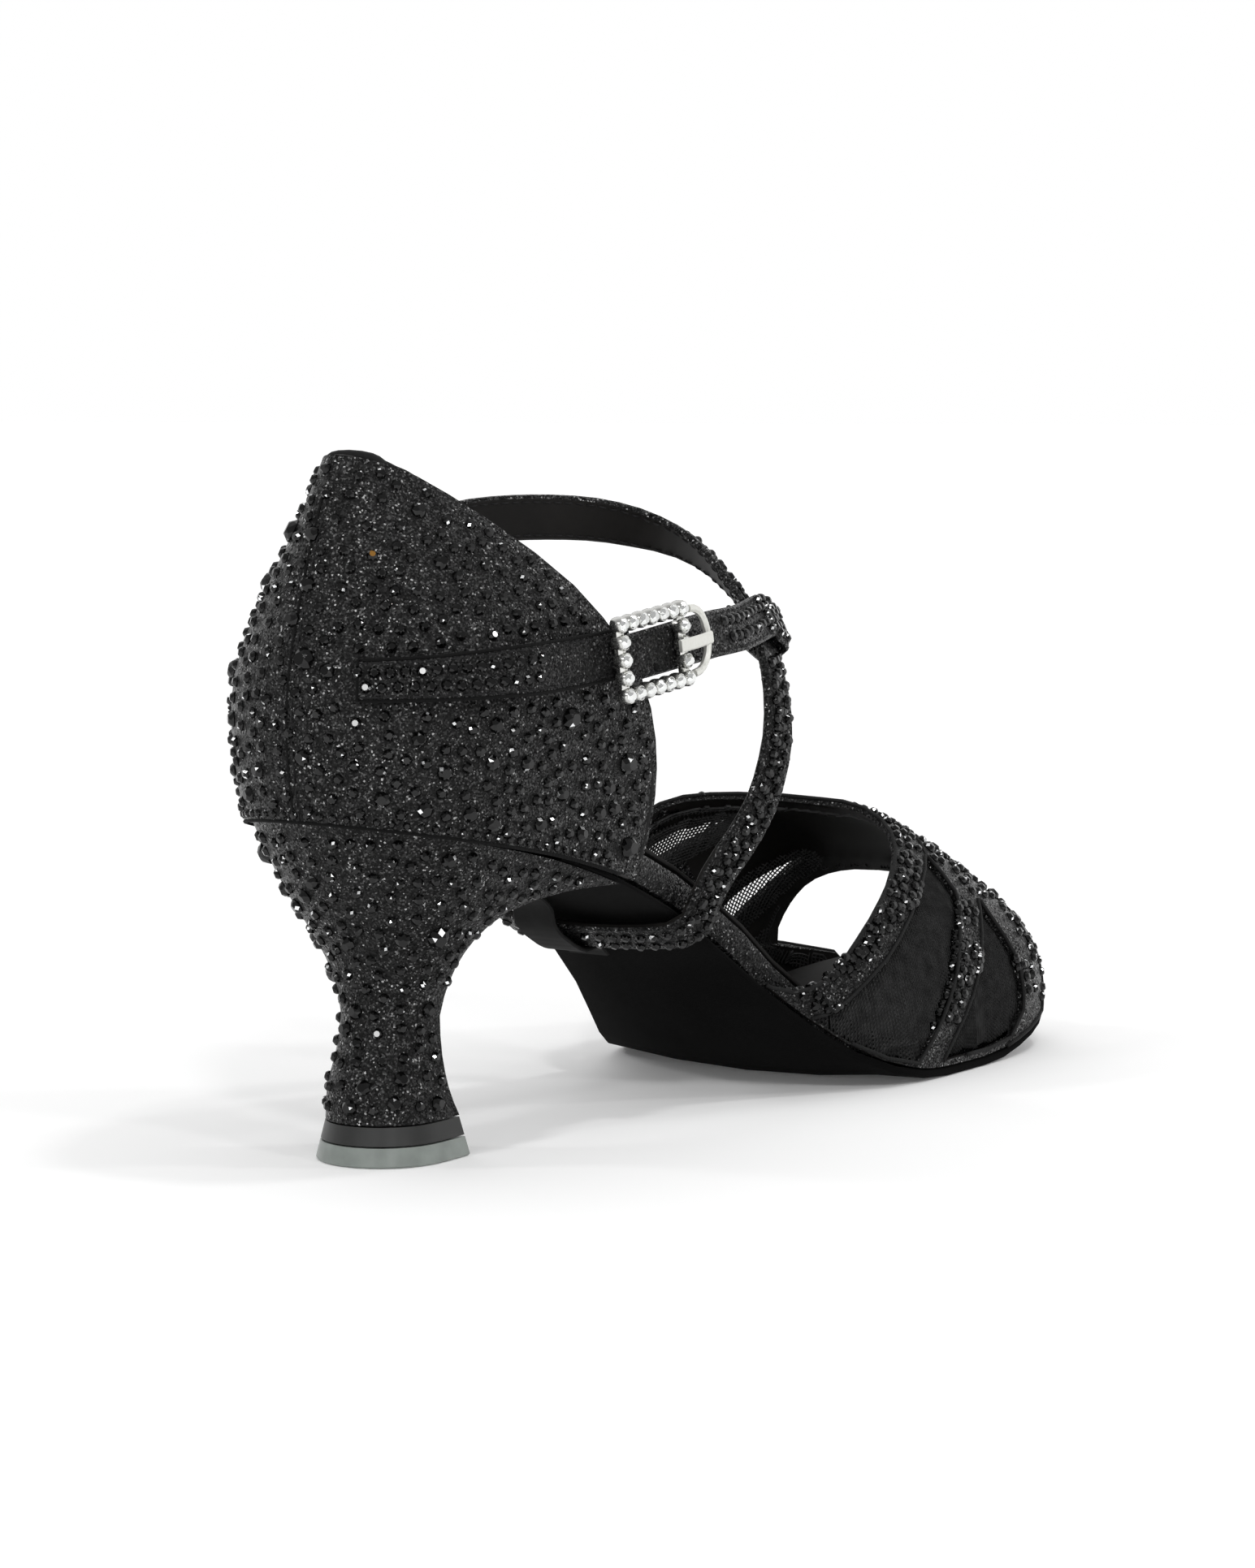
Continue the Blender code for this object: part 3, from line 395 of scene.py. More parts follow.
def gem(r, h, sides=8, table_share=0.52):
    """Flat-backed stone with a table, star and kite facets and a girdle, sunk a little into the cloth."""
    table = (r * table_share, h, 0.0)
    kites = (r * 0.80, h * 0.62, 0.5)
    girdle = (r, h * 0.18, 0.0)
    back = (r * 0.96, -0.25, 0.0)
    verts = []
    for rr, z, shift in (table, kites, girdle, back):
        for i in range(sides):
            a = 2 * math.pi * (i + shift) / sides
            verts.append(Vector((rr * math.cos(a), rr * math.sin(a), z)) * MM)
    faces = [tuple(range(sides))]
    for i in range(sides):
        j = (i + 1) % sides
        top, mid, rim, foot = i, sides + i, 2 * sides + i, 3 * sides + i
        faces.append((top, mid, j))
        faces.append((j, mid, 2 * sides + j, sides + j))
        faces.append((mid, rim, 2 * sides + j))
        faces.append((rim, foot, 3 * sides + j, 2 * sides + j))
    faces.append(tuple(range(4 * sides - 1, 3 * sides - 1, -1)))
    return verts, faces


GEMS = {size: gem(*size) for size in (*STONE_SIZES, BEAD)}
STONE_MATS = [STONE, AMBER, PAINTED_FLASH]


def drift(rng, reach):
    """A vector whose parts lie by chance within reach of zero."""
    return Vector((rng.uniform(-1, 1), rng.uniform(-1, 1), rng.uniform(-1, 1))) * reach


def set_stone(bag, rng, p, normal, size, painted_flash_share=PAINTED_FLASH_SHARE):
    """One stone on the surface, turned and leaned by chance; some get one facet of painted highlight, a
    near-white metal facet for the flash of light.
    """
    lean = drift(rng, 0.09)
    m = basis(p, (normal + lean).normalized()) @ Matrix.Rotation(rng.uniform(0, 6.28), 4, "Z")
    verts, faces = GEMS[size]
    start = len(bag.picks)
    bag.put(verts, faces, m)
    if rng.random() < painted_flash_share:
        # Each side has four faces after the table: star, kite, girdle facet and rim
        facet = 1 + 4 * rng.randrange(8) + rng.choice((0, 1, 1, 2))
        # That facet takes the painted flash highlight material
        bag.picks[start + facet] = 2


def rims(name, inside=lambda p, n: False):
    """Chains of points along the sharp rims of a node: (outer chains, inner chains)."""
    bm = bmesh.new()
    bm.from_mesh(NODES[name].data)
    bmesh.ops.remove_doubles(bm, verts=bm.verts, dist=0.00001)
    bmesh.ops.dissolve_limit(bm, angle_limit=0.0001, verts=bm.verts, edges=bm.edges)
    bm.normal_update()
    found = ([], [])
    for which in (0, 1):
        links = {}
        for e in bm.edges:
            if len(e.link_faces) != 2 or e.calc_face_angle(0.0) < math.radians(RIM_ANGLE):
                continue
            lined = any(inside(f.calc_center_median(), f.normal) for f in e.link_faces)
            if lined == bool(which):
                v, w = e.verts
                links.setdefault(v, []).append(w)
                links.setdefault(w, []).append(v)
        left = dict.fromkeys(links)
        while left:
            ends = [v for v in left if len(links[v]) == 1]
            v = min(ends or left, key=lambda q: tuple(q.co))
            chain = [v]
            del left[v]
            while True:
                nxt = [w for w in links[chain[-1]] if w in left]
                if not nxt:
                    break
                w = nxt[0]
                chain.append(w)
                del left[w]
            closed = len(chain) > 3 and chain[0] in links[chain[-1]]
            found[which].append(([q.co.copy() for q in chain], closed))
    bm.free()
    return found


def dense(points, step=1.0, closed=False):
    """The same line with a point about every step mm."""
    out = []
    ends = points + points[:1] if closed else points
    for a, b in zip(ends, ends[1:]):
        n = max(int((b - a).length / (step * MM)), 1)
        out += [a.lerp(b, i / n) for i in range(n)]
    return out if closed else out + [points[-1]]


def rim_points(name):
    """Points about a millimetre apart along all rims of a node."""
    return [p for side in rims(name) for chain, closed in side for p in dense(chain, 1.0, closed)]


def near_points(points):
    """Search tree over points."""
    kd = KDTree(len(points))
    for i, p in enumerate(points):
        kd.insert(p, i)
    kd.balance()
    return kd


def scatter(name, bag, seed, allow, others=(), tries=9000, room=STONE_ROOM, taken=()):
    """Stones by chance on the faces that the test allows, clear of rims, each other and other nodes."""
    rng = random.Random(seed)
    tri = triangles(name)
    cross = np.cross(tri[:, 1] - tri[:, 0], tri[:, 2] - tri[:, 0])
    area = np.linalg.norm(cross, axis=1)
    normal = cross / np.maximum(area, 1e-15)[:, None]
    middle = tri.mean(axis=1)
    keep = [i for i in range(len(tri)) if area[i] > 0 and allow(Vector(middle[i]), Vector(normal[i]))]
    share = np.cumsum(area[keep])
    share /= share[-1]
    edges = near_points(rim_points(name))
    placed = [tuple(q) for q in taken]
    sizes = [MIDDLE[0] * MM for _ in taken]
    for k in range(tries):
        i = keep[int(np.searchsorted(share, rng.random()))]
        a, b = rng.random(), rng.random()
        if a + b > 1:
            a, b = 1 - a, 1 - b
        p = Vector(tri[i][0] * (1 - a - b) + tri[i][1] * a + tri[i][2] * b)
        pick = rng.random()
        size = SMALL
        if k <= tries * EARLY_SHARE:
            if pick < LARGE_BELOW:
                size = LARGE
            elif pick < MIDDLE_BELOW:
                size = MIDDLE
        r = size[0] * MM
        if edges.find(p)[2] < r + RIM_ROOM * MM:
            continue
        if placed:
            d = np.linalg.norm(np.array(placed) - np.array(p), axis=1)
            if (d < np.array(sizes) + r + room * MM).any():
                continue
        if any(tree(o).find_nearest(p, r + NODE_ROOM * MM)[0] is not None for o in others):
            continue
        hit = tree(name).find_nearest(p)
        placed.append(tuple(p))
        sizes.append(r)
        set_stone(bag, rng, hit[0], Vector(normal[i]), size)


# Straps: walk along the inside of each and read its middle line
def walk(name, start, heading, step=1.5):
    """Frames along a strap, both ways from a place on it.

    Each is (middle, along, across, out, half width, half thickness).
    """
    ahead = walk_one_way(name, start, Vector(heading).normalized(), step)
    back = walk_one_way(name, start, -Vector(heading).normalized(), step)
    return [(p, -a, -c, out, w, t) for p, a, c, out, w, t in back[:0:-1]] + ahead


def walk_one_way(name, start, along, step):
    """One way along a strap, measured by rays to its faces from inside it."""
    faces = tree(name)
    step *= MM
    spot, out = faces.find_nearest(Vector(start) * MM)[:2]
    p = spot - out * 0.6 * MM
    frames = []
    for _ in range(400):
        for _ in range(2):
            out = (out - along * out.dot(along)).normalized()
            across = along.cross(out).normalized()
            sides = [faces.ray_cast(p, d, 0.02) for d in (across, -across)]
            if any(s[0] is None for s in sides):
                return frames
            p = p + across * (sides[0][3] - sides[1][3]) / 2
            caps = [faces.ray_cast(p, d, 0.02) for d in (out, -out)]
            if any(c[0] is None for c in caps):
                return frames
            p = p + out * (caps[0][3] - caps[1][3]) / 2
            out = caps[0][1] if caps[0][1].dot(out) > 0 else -caps[0][1]
        half = (sides[0][3] + sides[1][3]) / 2
        thick = (caps[0][3] + caps[1][3]) / 2
        if frames:
            move = p - frames[-1][0]
            if move.length < step * 0.2:
                return frames
            along = move.normalized()
        frames.append((p.copy(), along.copy(), across.copy(), out.copy(), half, thick))
        ahead = faces.ray_cast(p, along, 0.02)
        if ahead[0] is not None and ahead[3] < step:
            return frames
        p = p + along * step
    return frames


def strap_stones(bag, seed, frames, rows, pitch, allow, jitter, painted_flash_share=0.6):
    """Rows of stones along the outer face of a strap."""
    rng = random.Random(seed)
    for q, across_share in enumerate(rows):
        run = pitch * (0.5 * (q % 2)) * MM
        for a, b in zip(frames, frames[1:]):
            length = (b[0] - a[0]).length
            while run < length:
                t = run / length
                p = a[0].lerp(b[0], t)
                out = a[3].lerp(b[3], t).normalized()
                across = a[2].lerp(b[2], t).normalized()
                if allow(p, out):
                    side = across * (across_share * a[4] + rng.uniform(-jitter, jitter) * MM)
                    push = a[1] * rng.uniform(-jitter, jitter) * MM
                    set_stone(bag, rng, p + side + push + out * a[5], out, SMALL, painted_flash_share)
                run += pitch * MM
            run -= length


def strap_edge(frames, share, face):
    """Line along a strap at a share of its half width and half thickness."""
    return [f[0] + f[2] * f[4] * share + f[3] * f[5] * face for f in frames]


# Piece makers
def ring_faces(first, second, sides):
    """Faces between two rings of points, given the number of each ring's first point."""
    return [(first + k, first + (k + 1) % sides, second + (k + 1) % sides, second + k) for k in range(sides)]


def ribbon(bag, points, normals, width, lift):
    """Flat narrow band lying on a surface along a line of points."""
    verts = []
    faces = []
    for i, (p, n) in enumerate(zip(points, normals)):
        t = (points[min(i + 1, len(points) - 1)] - points[max(i - 1, 0)]).normalized()
        s = t.cross(n).normalized() * width * MM / 2
        q = p + n * lift * MM
        verts += [q - s, q + s]
        if i:
            k = 2 * i
            faces.append((k - 2, k - 1, k + 1, k))
    bag.put(verts, faces, Matrix())


def tube(bag, points, r, sides=6, pick=0, closed=False):
    """Round cord along points."""
    verts = []
    n = len(points)
    hint = Vector((0.3, 0.2, 0.93))
    for i, p in enumerate(points):
        a = points[(i - 1) % n] if closed else points[max(i - 1, 0)]
        b = points[(i + 1) % n] if closed else points[min(i + 1, n - 1)]
        m = basis(p, b - a, hint)
        hint = m.to_3x3().col[0].copy()
        for k in range(sides):
            q = 2 * math.pi * k / sides
            verts.append(m @ (Vector((math.cos(q), math.sin(q), 0)) * r * MM))
    faces = []
    for i in range(n if closed else n - 1):
        faces += ring_faces(i * sides, ((i + 1) % n) * sides, sides)
    if not closed:
        faces += [tuple(range(sides))[::-1], tuple(range((n - 1) * sides, n * sides))]
    bag.put(verts, faces, Matrix(), pick)


def stitches(bag, points, normals, length, gap, r, pick=0):
    """Short threads in a row along a line."""
    run = 0.0
    total = [0.0]
    for a, b in zip(points, points[1:]):
        total.append(total[-1] + (b - a).length)

    def at(d):
        k = min(max(int(np.searchsorted(total, d)), 1), len(points) - 1)
        t = (d - total[k - 1]) / max(total[k] - total[k - 1], 1e-9)
        return points[k - 1].lerp(points[k], t)

    while run + length * MM < total[-1]:
        a, b = at(run), at(run + length * MM)
        k = min(max(int(np.searchsorted(total, run)), 1), len(points) - 1)
        mid = (a + b) / 2 + normals[k] * r * 0.7 * MM
        tube(bag, [a - normals[k] * r * 0.5 * MM, mid, b - normals[k] * r * 0.5 * MM], r, 5, pick)
        run += (length + gap) * MM


# Camera, floor and light
def set_camera():
    """Camera at the photograph's angle and distance."""
    a, e = math.radians(AZIMUTH), math.radians(ELEVATION)
    away = Vector((math.sin(a) * math.cos(e), -math.cos(a) * math.cos(e), math.sin(e)))
    data = bpy.data.cameras.new("camera")
    data.sensor_fit = "HORIZONTAL"
    data.sensor_width = 36.0
    data.lens = LENS
    data.clip_start = 0.01
    data.clip_end = 50.0
    cam = bpy.data.objects.new("camera", data)
    cam.location = AIM + away * DISTANCE
    cam.rotation_euler = (-away).to_track_quat("-Z", "Y").to_euler()
    bpy.context.scene.collection.objects.link(cam)
    bpy.context.scene.camera = cam


def soft_box(name, spot, power):
    """Square lamp at a spot, turned to the shoe."""
    data = bpy.data.lights.new(name, "AREA")
    data.shape = "SQUARE"
    data.size = LAMP_SIZE
    data.energy = power
    obj = bpy.data.objects.new(name, data)
    obj.location = spot
    obj.rotation_euler = (LAMP_AIM - Vector(spot)).to_track_quat("-Z", "Y").to_euler()
    bpy.context.scene.collection.objects.link(obj)


def lay_floor():
    """White floor that glows a little more with distance, so that it meets the backdrop unseen."""
    mesh = bpy.data.meshes.new("floor")
    s = FLOOR_HALF
    mesh.from_pydata([(-s, -s, 0), (s, -s, 0), (s, s, 0), (-s, s, 0)], [], [(0, 1, 2, 3)])
    mat = shader("floor_white", grey(0.98), 0.9)
    n = Nodes(mat)
    cloud = n.noise(3)
    ramp = n.ramp([(0.0, grey(0.975)), (1.0, grey(0.985))])
    n.join(cloud, "Fac", ramp, "Fac")
    n.join(ramp, "Color", n.bsdf, "Base Color")
    away = n.add("ShaderNodeVectorMath", operation="LENGTH")
    n.join(n.place(), "Object", away, 0)
    glow = n.add("ShaderNodeMapRange")
    for key, value in (("From Min", 0.12), ("From Max", 1.8), ("To Min", 0.05), ("To Max", 0.40)):
        glow.inputs[key].default_value = value
    n.join(away, "Value", glow, "Value")
    n.join(glow, "Result", n.bsdf, "Emission Strength")
    n.bsdf.inputs["Emission Color"].default_value = (1.0, 1.0, 1.0, 1.0)
    mesh.materials.append(mat)
    floor = bpy.data.objects.new("floor", mesh)
    floor.location.z = -0.0001
    bpy.context.scene.collection.objects.link(floor)


def set_world():
    """White backdrop behind the shoe, dimmer on the camera's side."""
    world = bpy.data.worlds.new("studio")
    world.use_nodes = True
    sky = world.node_tree
    place = sky.nodes.new("ShaderNodeTexCoord")
    ahead = sky.nodes.new("ShaderNodeVectorMath")
    ahead.operation = "DOT_PRODUCT"
    ahead.inputs[1].default_value = (0.816, 0.578, 0.0)
    sky.links.new(place.outputs["Generated"], ahead.inputs[0])
    ramp = sky.nodes.new("ShaderNodeMapRange")
    for key, value in (("From Min", -0.2), ("From Max", 0.5), ("To Min", DIM_SIDE), ("To Max", 1.0)):
        ramp.inputs[key].default_value = value
    sky.links.new(ahead.outputs["Value"], ramp.inputs["Value"])
    sky.links.new(ramp.outputs["Result"], sky.nodes["Background"].inputs["Color"])
    bpy.context.scene.world = world
    bpy.context.scene.view_settings.view_transform = "Standard"


def set_stage():
    """Floor, backdrop and lamps."""
    lay_floor()
    set_world()
    for i, (spot, power) in enumerate(LAMPS):
        soft_box("lamp_%d" % i, spot, power)


# Upper: counter and bands with their linings
def faces_in(name, wall):
    """Test whether a place on a thin wall looks back at the inside of the shoe."""
    skin = tree(name)
    others = [skin, tree("padded_board"), tree("sock_lining"), tree("outsole")]

    def test(p, n):
        if skin.ray_cast(p - n * 0.02 * MM, -n, wall * 1.5 * MM)[0] is None:
            return False
        return any(other.ray_cast(p + n * 0.1 * MM, n, 0.09)[0] is not None for other in others)

    return test


counter_faces_in = faces_in("counter", 2.0)
vamp_inside = faces_in("vamp_bands", 1.3)


def counter_inside(p, n):
    """As above, and also where the counter's back looks forward through its open front."""
    return counter_faces_in(p, n) or n.dot(Vector((p.x + 58 * MM, p.y, 0.0))) < 0


def strap_inside(p, n):
    """Whether a face of the long strap looks to the foot."""
    away = Vector((0.0, p.y, p.z - 68 * MM))
    return n.dot(away.normalized()) < -0.35


def dress_upper():
    """Each node's own form with its cloth, leather, plastic or metal."""
    dress("counter", [GLITTER, LINING], "glitter_fabric", counter_inside)
    dress("vamp_bands", [GLITTER_FINE, LINING], "glitter_fabric", vamp_inside)
    dress("long_strap", [GLITTER_FINE, LINING], "glitter_fabric", strap_inside)
    dress("tab_strap", [GLITTER_FINE], "glitter_fabric")
    dress("loop_strap", [GLITTER_FINE], "glitter_fabric")
    dress("heel", [GLITTER], "glitter_fabric")
    dress("padded_board", [GLITTER_FINE], "glitter_fabric")
    dress("sock_lining", [SOCK], "lining")
    dress("outsole", [SUEDE], "suede")
    dress("elastic_keeper", [ELASTIC], "elastic")
    dress("heel_tip_lower", [TIP_CLEAR], "tip_clear")
    dress("heel_tip_upper", [TIP_DARK], "tip_dark")
    dress("buckle_wire", [PEARL], "silver")
    dress("buckle_prong", [PEARL], "silver")


def stone_counter():
    """One amber stone, and black ones by chance over the outside of the counter."""
    bag = Bag()
    spot, way = tree("counter").find_nearest(AMBER_AT)[:2]
    set_stone(bag, random.Random(5), spot, way, SMALL, painted_flash_share=1.0)
    # Table and first facets: amber, amber, painted flash highlight, dark, amber, dark
    bag.picks[:6] = [1, 1, 2, 0, 1, 0]
    scatter("counter", bag, 11, lambda p, q: not counter_inside(p, q) and abs(q.z) < 0.8,
            others=("tab_strap", "long_strap"), taken=(AMBER_AT,))
    bag.done("counter_stones", STONE_MATS, "glitter_fabric", flat=True)


def stone_heel():
    """Stones by chance over the heel, apart from its breast."""
    bag = Bag()
    scatter("heel", bag, 12, lambda p, q: q.x < 0.35 and abs(q.z) < 0.85,
            others=("counter", "heel_tip_upper"))
    bag.done("heel_stones", STONE_MATS, "glitter_fabric", flat=True)


# Bindings and seams, with painted shade lines in the heel joint and the back seam
def edge_lines(name, inside, keep, sink):
    """Lines along the rim of a wall, half way through it and sunk into it."""
    outer, inner = rims(name, inside)
    kd = near_points([p for chain, closed in inner for p in dense(chain, 0.5, closed)])
    lines = []
    for chain, closed in outer:
        run = []
        inward = None
        spots = dense(chain, RIM_STEP, closed)
        for i, p in enumerate(spots):
            q = kd.find(p)[0]
            along = (spots[min(i + 2, len(spots) - 1)] - spots[max(i - 2, 0)]).normalized()
            across = p - q
            if keep(p) and across.length < 2.5 * MM:
                mid = (p + q) / 2
                way = along.cross(across).normalized()
                if inward is None:
                    inward = way if within(name, mid + way * 0.7 * MM) else -way
                inward = way if way.dot(inward) > 0 else -way
                run.append(mid + inward * sink * MM)
            elif run:
                lines.append(run)
                run = []
        if run:
            lines.append(run)
    return [eased(line) for line in lines if len(line) > 4]


def eased(line, rounds=6):
    """The same line with its kinks rounded off."""
    for _ in range(rounds):
        line = [line[0]] + [(a + b * 2 + c) / 4 for a, b, c in zip(line, line[1:], line[2:])] + [line[-1]]
    return line


def within(name, p):
    """Whether a point lies inside a node's solid."""
    hits = 0
    way = Vector((0.12, 0.31, 0.94)).normalized()
    spot = p
    for _ in range(12):
        hit = tree(name).ray_cast(spot, way)
        if hit[0] is None:
            break
        hits += 1
        spot = hit[0] + way * 0.01 * MM
    return hits % 2 == 1


def above_joint(p):
    """Whether a point of the counter's rim belongs to its open edge, and not to the joint with the heel."""
    return p.z > 66 * MM - (p.x + 112 * MM) * 0.24


def bind_topline():
    """Rolled binding up one front edge of the counter, round the back and down the other."""
    bag = Bag()
    lines = edge_lines("counter", counter_faces_in, above_joint, BINDING_SUNK)
    spots = [p for line in lines for p in line]
    top = [p for p in spots if p.z > 75 * MM]
    top.sort(key=lambda p: math.atan2(p.y, -50 * MM - p.x))
    fronts = []
    for side in (-1, 1):
        fronts.append(sorted((p for p in spots if p.z <= 75 * MM and p.y * side > 0), key=lambda p: p.z))
    line = []
    for p in fronts[0] + top + fronts[1][::-1]:
        if not line or (p - line[-1]).length > 0.8 * MM:
            line.append(p)
    tube(bag, eased(line, 4), BINDING_RADIUS, 8)
    bag.done("topline_binding", [BINDING], "glitter_fabric")


def pipe_bands():
    """Fine piping round the cut-outs and edges of the vamp."""
    bag = Bag()
    for chain, closed in rims("vamp_bands", vamp_inside)[0]:
        rise = max(p.z for p in chain) - min(p.z for p in chain)
        if rise > 8 * MM and len(chain) > 12:
            tube(bag, dense(chain, 2.0, closed), PIPING_RADIUS, closed=closed)
    bag.done("band_piping", [BINDING], "glitter_fabric")


def join_heel():
    """Painted shade line in the crease where counter and heel meet, with a row of beads."""
    bag = Bag()
    stones = Bag()
    rng = random.Random(51)
    skin = tree("counter")
    for line in edge_lines("counter", counter_faces_in, lambda p: not above_joint(p), 0.0):
        edge = []
        for p in line:
            away = Vector((p.x + 55 * MM, p.y, 0.0)).normalized()
            edge.append(skin.find_nearest(p + away * 1.6 * MM)[0] - Vector((0, 0, 0.1 * MM)))
        # Near-black tube: painted shade in the crease where counter and heel meet
        tube(bag, eased(edge), JOINT_SHADE_RADIUS)
        run = 0.0
        for a, b in zip(edge, edge[1:]):
            if run <= 0:
                spot, way = skin.find_nearest(a + Vector((0, 0, 1.3 * MM)))[:2]
                if -0.9 < way.z < 0.7:
                    set_stone(stones, rng, spot, way, BEAD)
                run = BEAD_PITCH * MM
            run -= (b - a).length
    bag.done("heel_joint_shade", [SEAM_SHADE], "glitter_fabric")
    stones.done("joint_beads", STONE_MATS, "glitter_fabric", flat=True)


def seam_back():
    """Seam down the back of the counter, drawn as a near-black strip of painted shade in its groove, with a
    row of stitches on each side.
    """
    bag = Bag()
    points = []
    normals = []
    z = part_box("counter")[0][2] + 2 * MM
    while z < 118 * MM:
        hit = tree("counter").ray_cast(Vector((-0.15, -0.8 * MM, z)), Vector((1, 0, 0)))
        if hit[0] is not None and hit[1].x < -0.3:
            points.append(hit[0])
            normals.append(hit[1])
        z += 1.5 * MM
    # Near-black ribbon: painted shade in the seam's groove
    ribbon(bag, points, normals, 0.5, 0.06)
    for side in (-1.1, 1.1):
        offset = [p + Vector((0, side * MM, 0)) for p in points]
        offset = [tree("counter").find_nearest(p)[0] for p in offset]
        stitches(bag, offset, normals, 1.5, 0.7, 0.13, pick=1)
    bag.done("back_seam_shade_and_stitches", [SEAM_SHADE, THREAD], "glitter_fabric")


# Vamp: where the bands run, read from the wall itself
def vamp_hit(name, x, angle):
    """Where a ray to the X axis, at this angle in degrees over the crest, meets a vamp node."""
    a = math.radians(angle)
    way = Vector((0.0, math.cos(a), -math.sin(a)))
    start = Vector((x, 0.0, 0.0)) - way * 0.12
    hit = tree(name).ray_cast(start, way, 0.118)
    return (hit[0], hit[1]) if hit[0] is not None else None


def band_spans(angle):
    """Stretches of X over which the wall is there at this angle."""
    low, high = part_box("vamp_bands")
    step = SPAN_STEP * MM
    spans = []
    x = low[0] - step
    while x < high[0] + step:
        if vamp_hit("vamp_bands", x, angle):
            if spans and x - spans[-1][1] < step * 1.5:
                spans[-1][1] = x
            else:
                spans.append([x, x])
        x += step
    return [q for q in spans if q[1] - q[0] > 1.5 * MM]


def row_of_stones(bag, rng, places, pitch, jitter):
    """Small stones along a line of (point, normal) places at an even pitch."""
    run = 0.0
    for (a, na), (b, nb) in zip(places, places[1:]):
        length = (b - a).length
        while run < length:
            t = run / length
            p = a.lerp(b, t)
            n = na.lerp(nb, t).normalized()
            q = tree("vamp_bands").find_nearest(p + drift(rng, jitter) * MM)
            set_stone(bag, rng, q[0], q[1] if q[1].dot(n) > 0.3 else n, SMALL)
            run += pitch * MM
        run -= length


def slanting_band(spans, share):
    """X at a share of the second band's width, where it shows by itself or as the end of a wide stretch."""
    if len(spans) < 2:
        return None
    first = spans[0]
    wide = len(spans) == 2 and first[1] - first[0] >= 11 * MM
    band = first if wide else spans[1]
    width = min(band[1] - band[0], 9 * MM)
    return band[1] - width + width * share if wide else band[0] + width * share


def stone_vamp():
    """Two rows of stones on each band of the vamp and round the open toe."""
    bag = Bag()
    rng = random.Random(21)
    spans = {a: band_spans(a) for a in (5 + 1.5 * i for i in range(114))}

    def line(pick, low, high):
        out = []
        for a, found in spans.items():
            if low <= a <= high and found:
                x = pick(found)
                hit = vamp_hit("vamp_bands", x, a) if x is not None else None
                if hit:
                    out.append(hit)
        return out

    for share in (0.36, 0.72):
        throat = line(lambda found: found[0][0] + BAND_WIDTH * MM * share, 14, 172)
        row_of_stones(bag, rng, throat, 3.1, 0.6)
    for low, high in ((20, 90), (90, 160)):
        for share in (0.3, 0.7):
            slant = line(lambda found: slanting_band(found, share), low, high)
            row_of_stones(bag, rng, slant, 2.9, 0.35)
    for inset, low in ((2.0, 16), (4.8, 36)):
        toe = line(lambda found: found[-1][1] - inset * MM, low, 140)
        row_of_stones(bag, rng, toe, 3.0, 0.4)
    bag.done("vamp_stones", STONE_MATS, "glitter_fabric", flat=True)


def stone_crest():
    """Stones by chance where the bands run together over the crest of the vamp."""
    bag = Bag()
    wide = {a: band_spans(a) for a in range(30, 152, 2)}

    def allow(p, q):
        if vamp_inside(p, q) or q.z < 0.3:
            return False
        a = math.degrees(math.atan2(p[2], -p[1]))
        key = int(round(a / 2) * 2)
        if key not in wide or not wide[key]:
            return False
        return any(a + 8 * MM < p.x < b - 6 * MM for a, b in wide[key])

    scatter("vamp_bands", bag, 22, allow, tries=4000, room=0.25)
    bag.done("crest_stones", STONE_MATS, "glitter_fabric", flat=True)


def stone_rim():
    """Small stones along the medial rim of the board, from the waist to the ball."""
    bag = Bag()
    rng = random.Random(63)
    way_in = Vector((0, -1, 0))
    covers = (tree("vamp_bands"), tree("long_strap"))
    for i in range(26):
        hits = []
        for j in range(110):
            start = Vector((-9 + 1.7 * i, 80, 0.4 * j)) * MM
            hit = tree("padded_board").ray_cast(start, way_in)
            if hit[0] is not None and all(c.ray_cast(start, way_in, hit[3])[0] is None for c in covers):
                hits.append(hit)
        if hits:
            spot, way = hits[len(hits) // 2][:2]
            set_stone(bag, rng, spot, way, BEAD)
    bag.done("rim_stones", STONE_MATS, "glitter_fabric", flat=True)


# Net: a grid of flat threads in the windows
def net_row(x, edges):
    """Crossing points of one row of the net, by their number from the crest: (point, normal, seen)."""
    arc = [hit for hit in (vamp_hit("vamp_net", x, angle) for angle in NET_ANGLES) if hit]
    if len(arc) <= 8:
        return None
    run = [0.0]
    for (a, _), (b, _) in zip(arc, arc[1:]):
        run.append(run[-1] + (b - a).length)
    crest = run[max(range(len(arc)), key=lambda i: arc[i][0].z)]
    first = math.ceil((run[0] - crest) / (NET_PITCH * MM))
    last = math.floor((run[-1] - crest) / (NET_PITCH * MM))
    row = {}
    for j in range(first, last + 1):
        d = crest + j * NET_PITCH * MM
        k = min(max(int(np.searchsorted(run, d)), 1), len(run) - 1)
        t = (d - run[k - 1]) / max(run[k] - run[k - 1], 1e-9)
        p = arc[k - 1][0].lerp(arc[k][0], t)
        n = arc[k - 1][1].lerp(arc[k][1], t).normalized()
        if (arc[k][0] - arc[k - 1][0]).length > 1.5 * MM:
            continue
        covered = tree("vamp_bands").ray_cast(p, n, 3 * MM)[0] is not None
        row[j] = (p, n, not covered or edges.find(p)[2] < NET_MARGIN * MM)
    return row


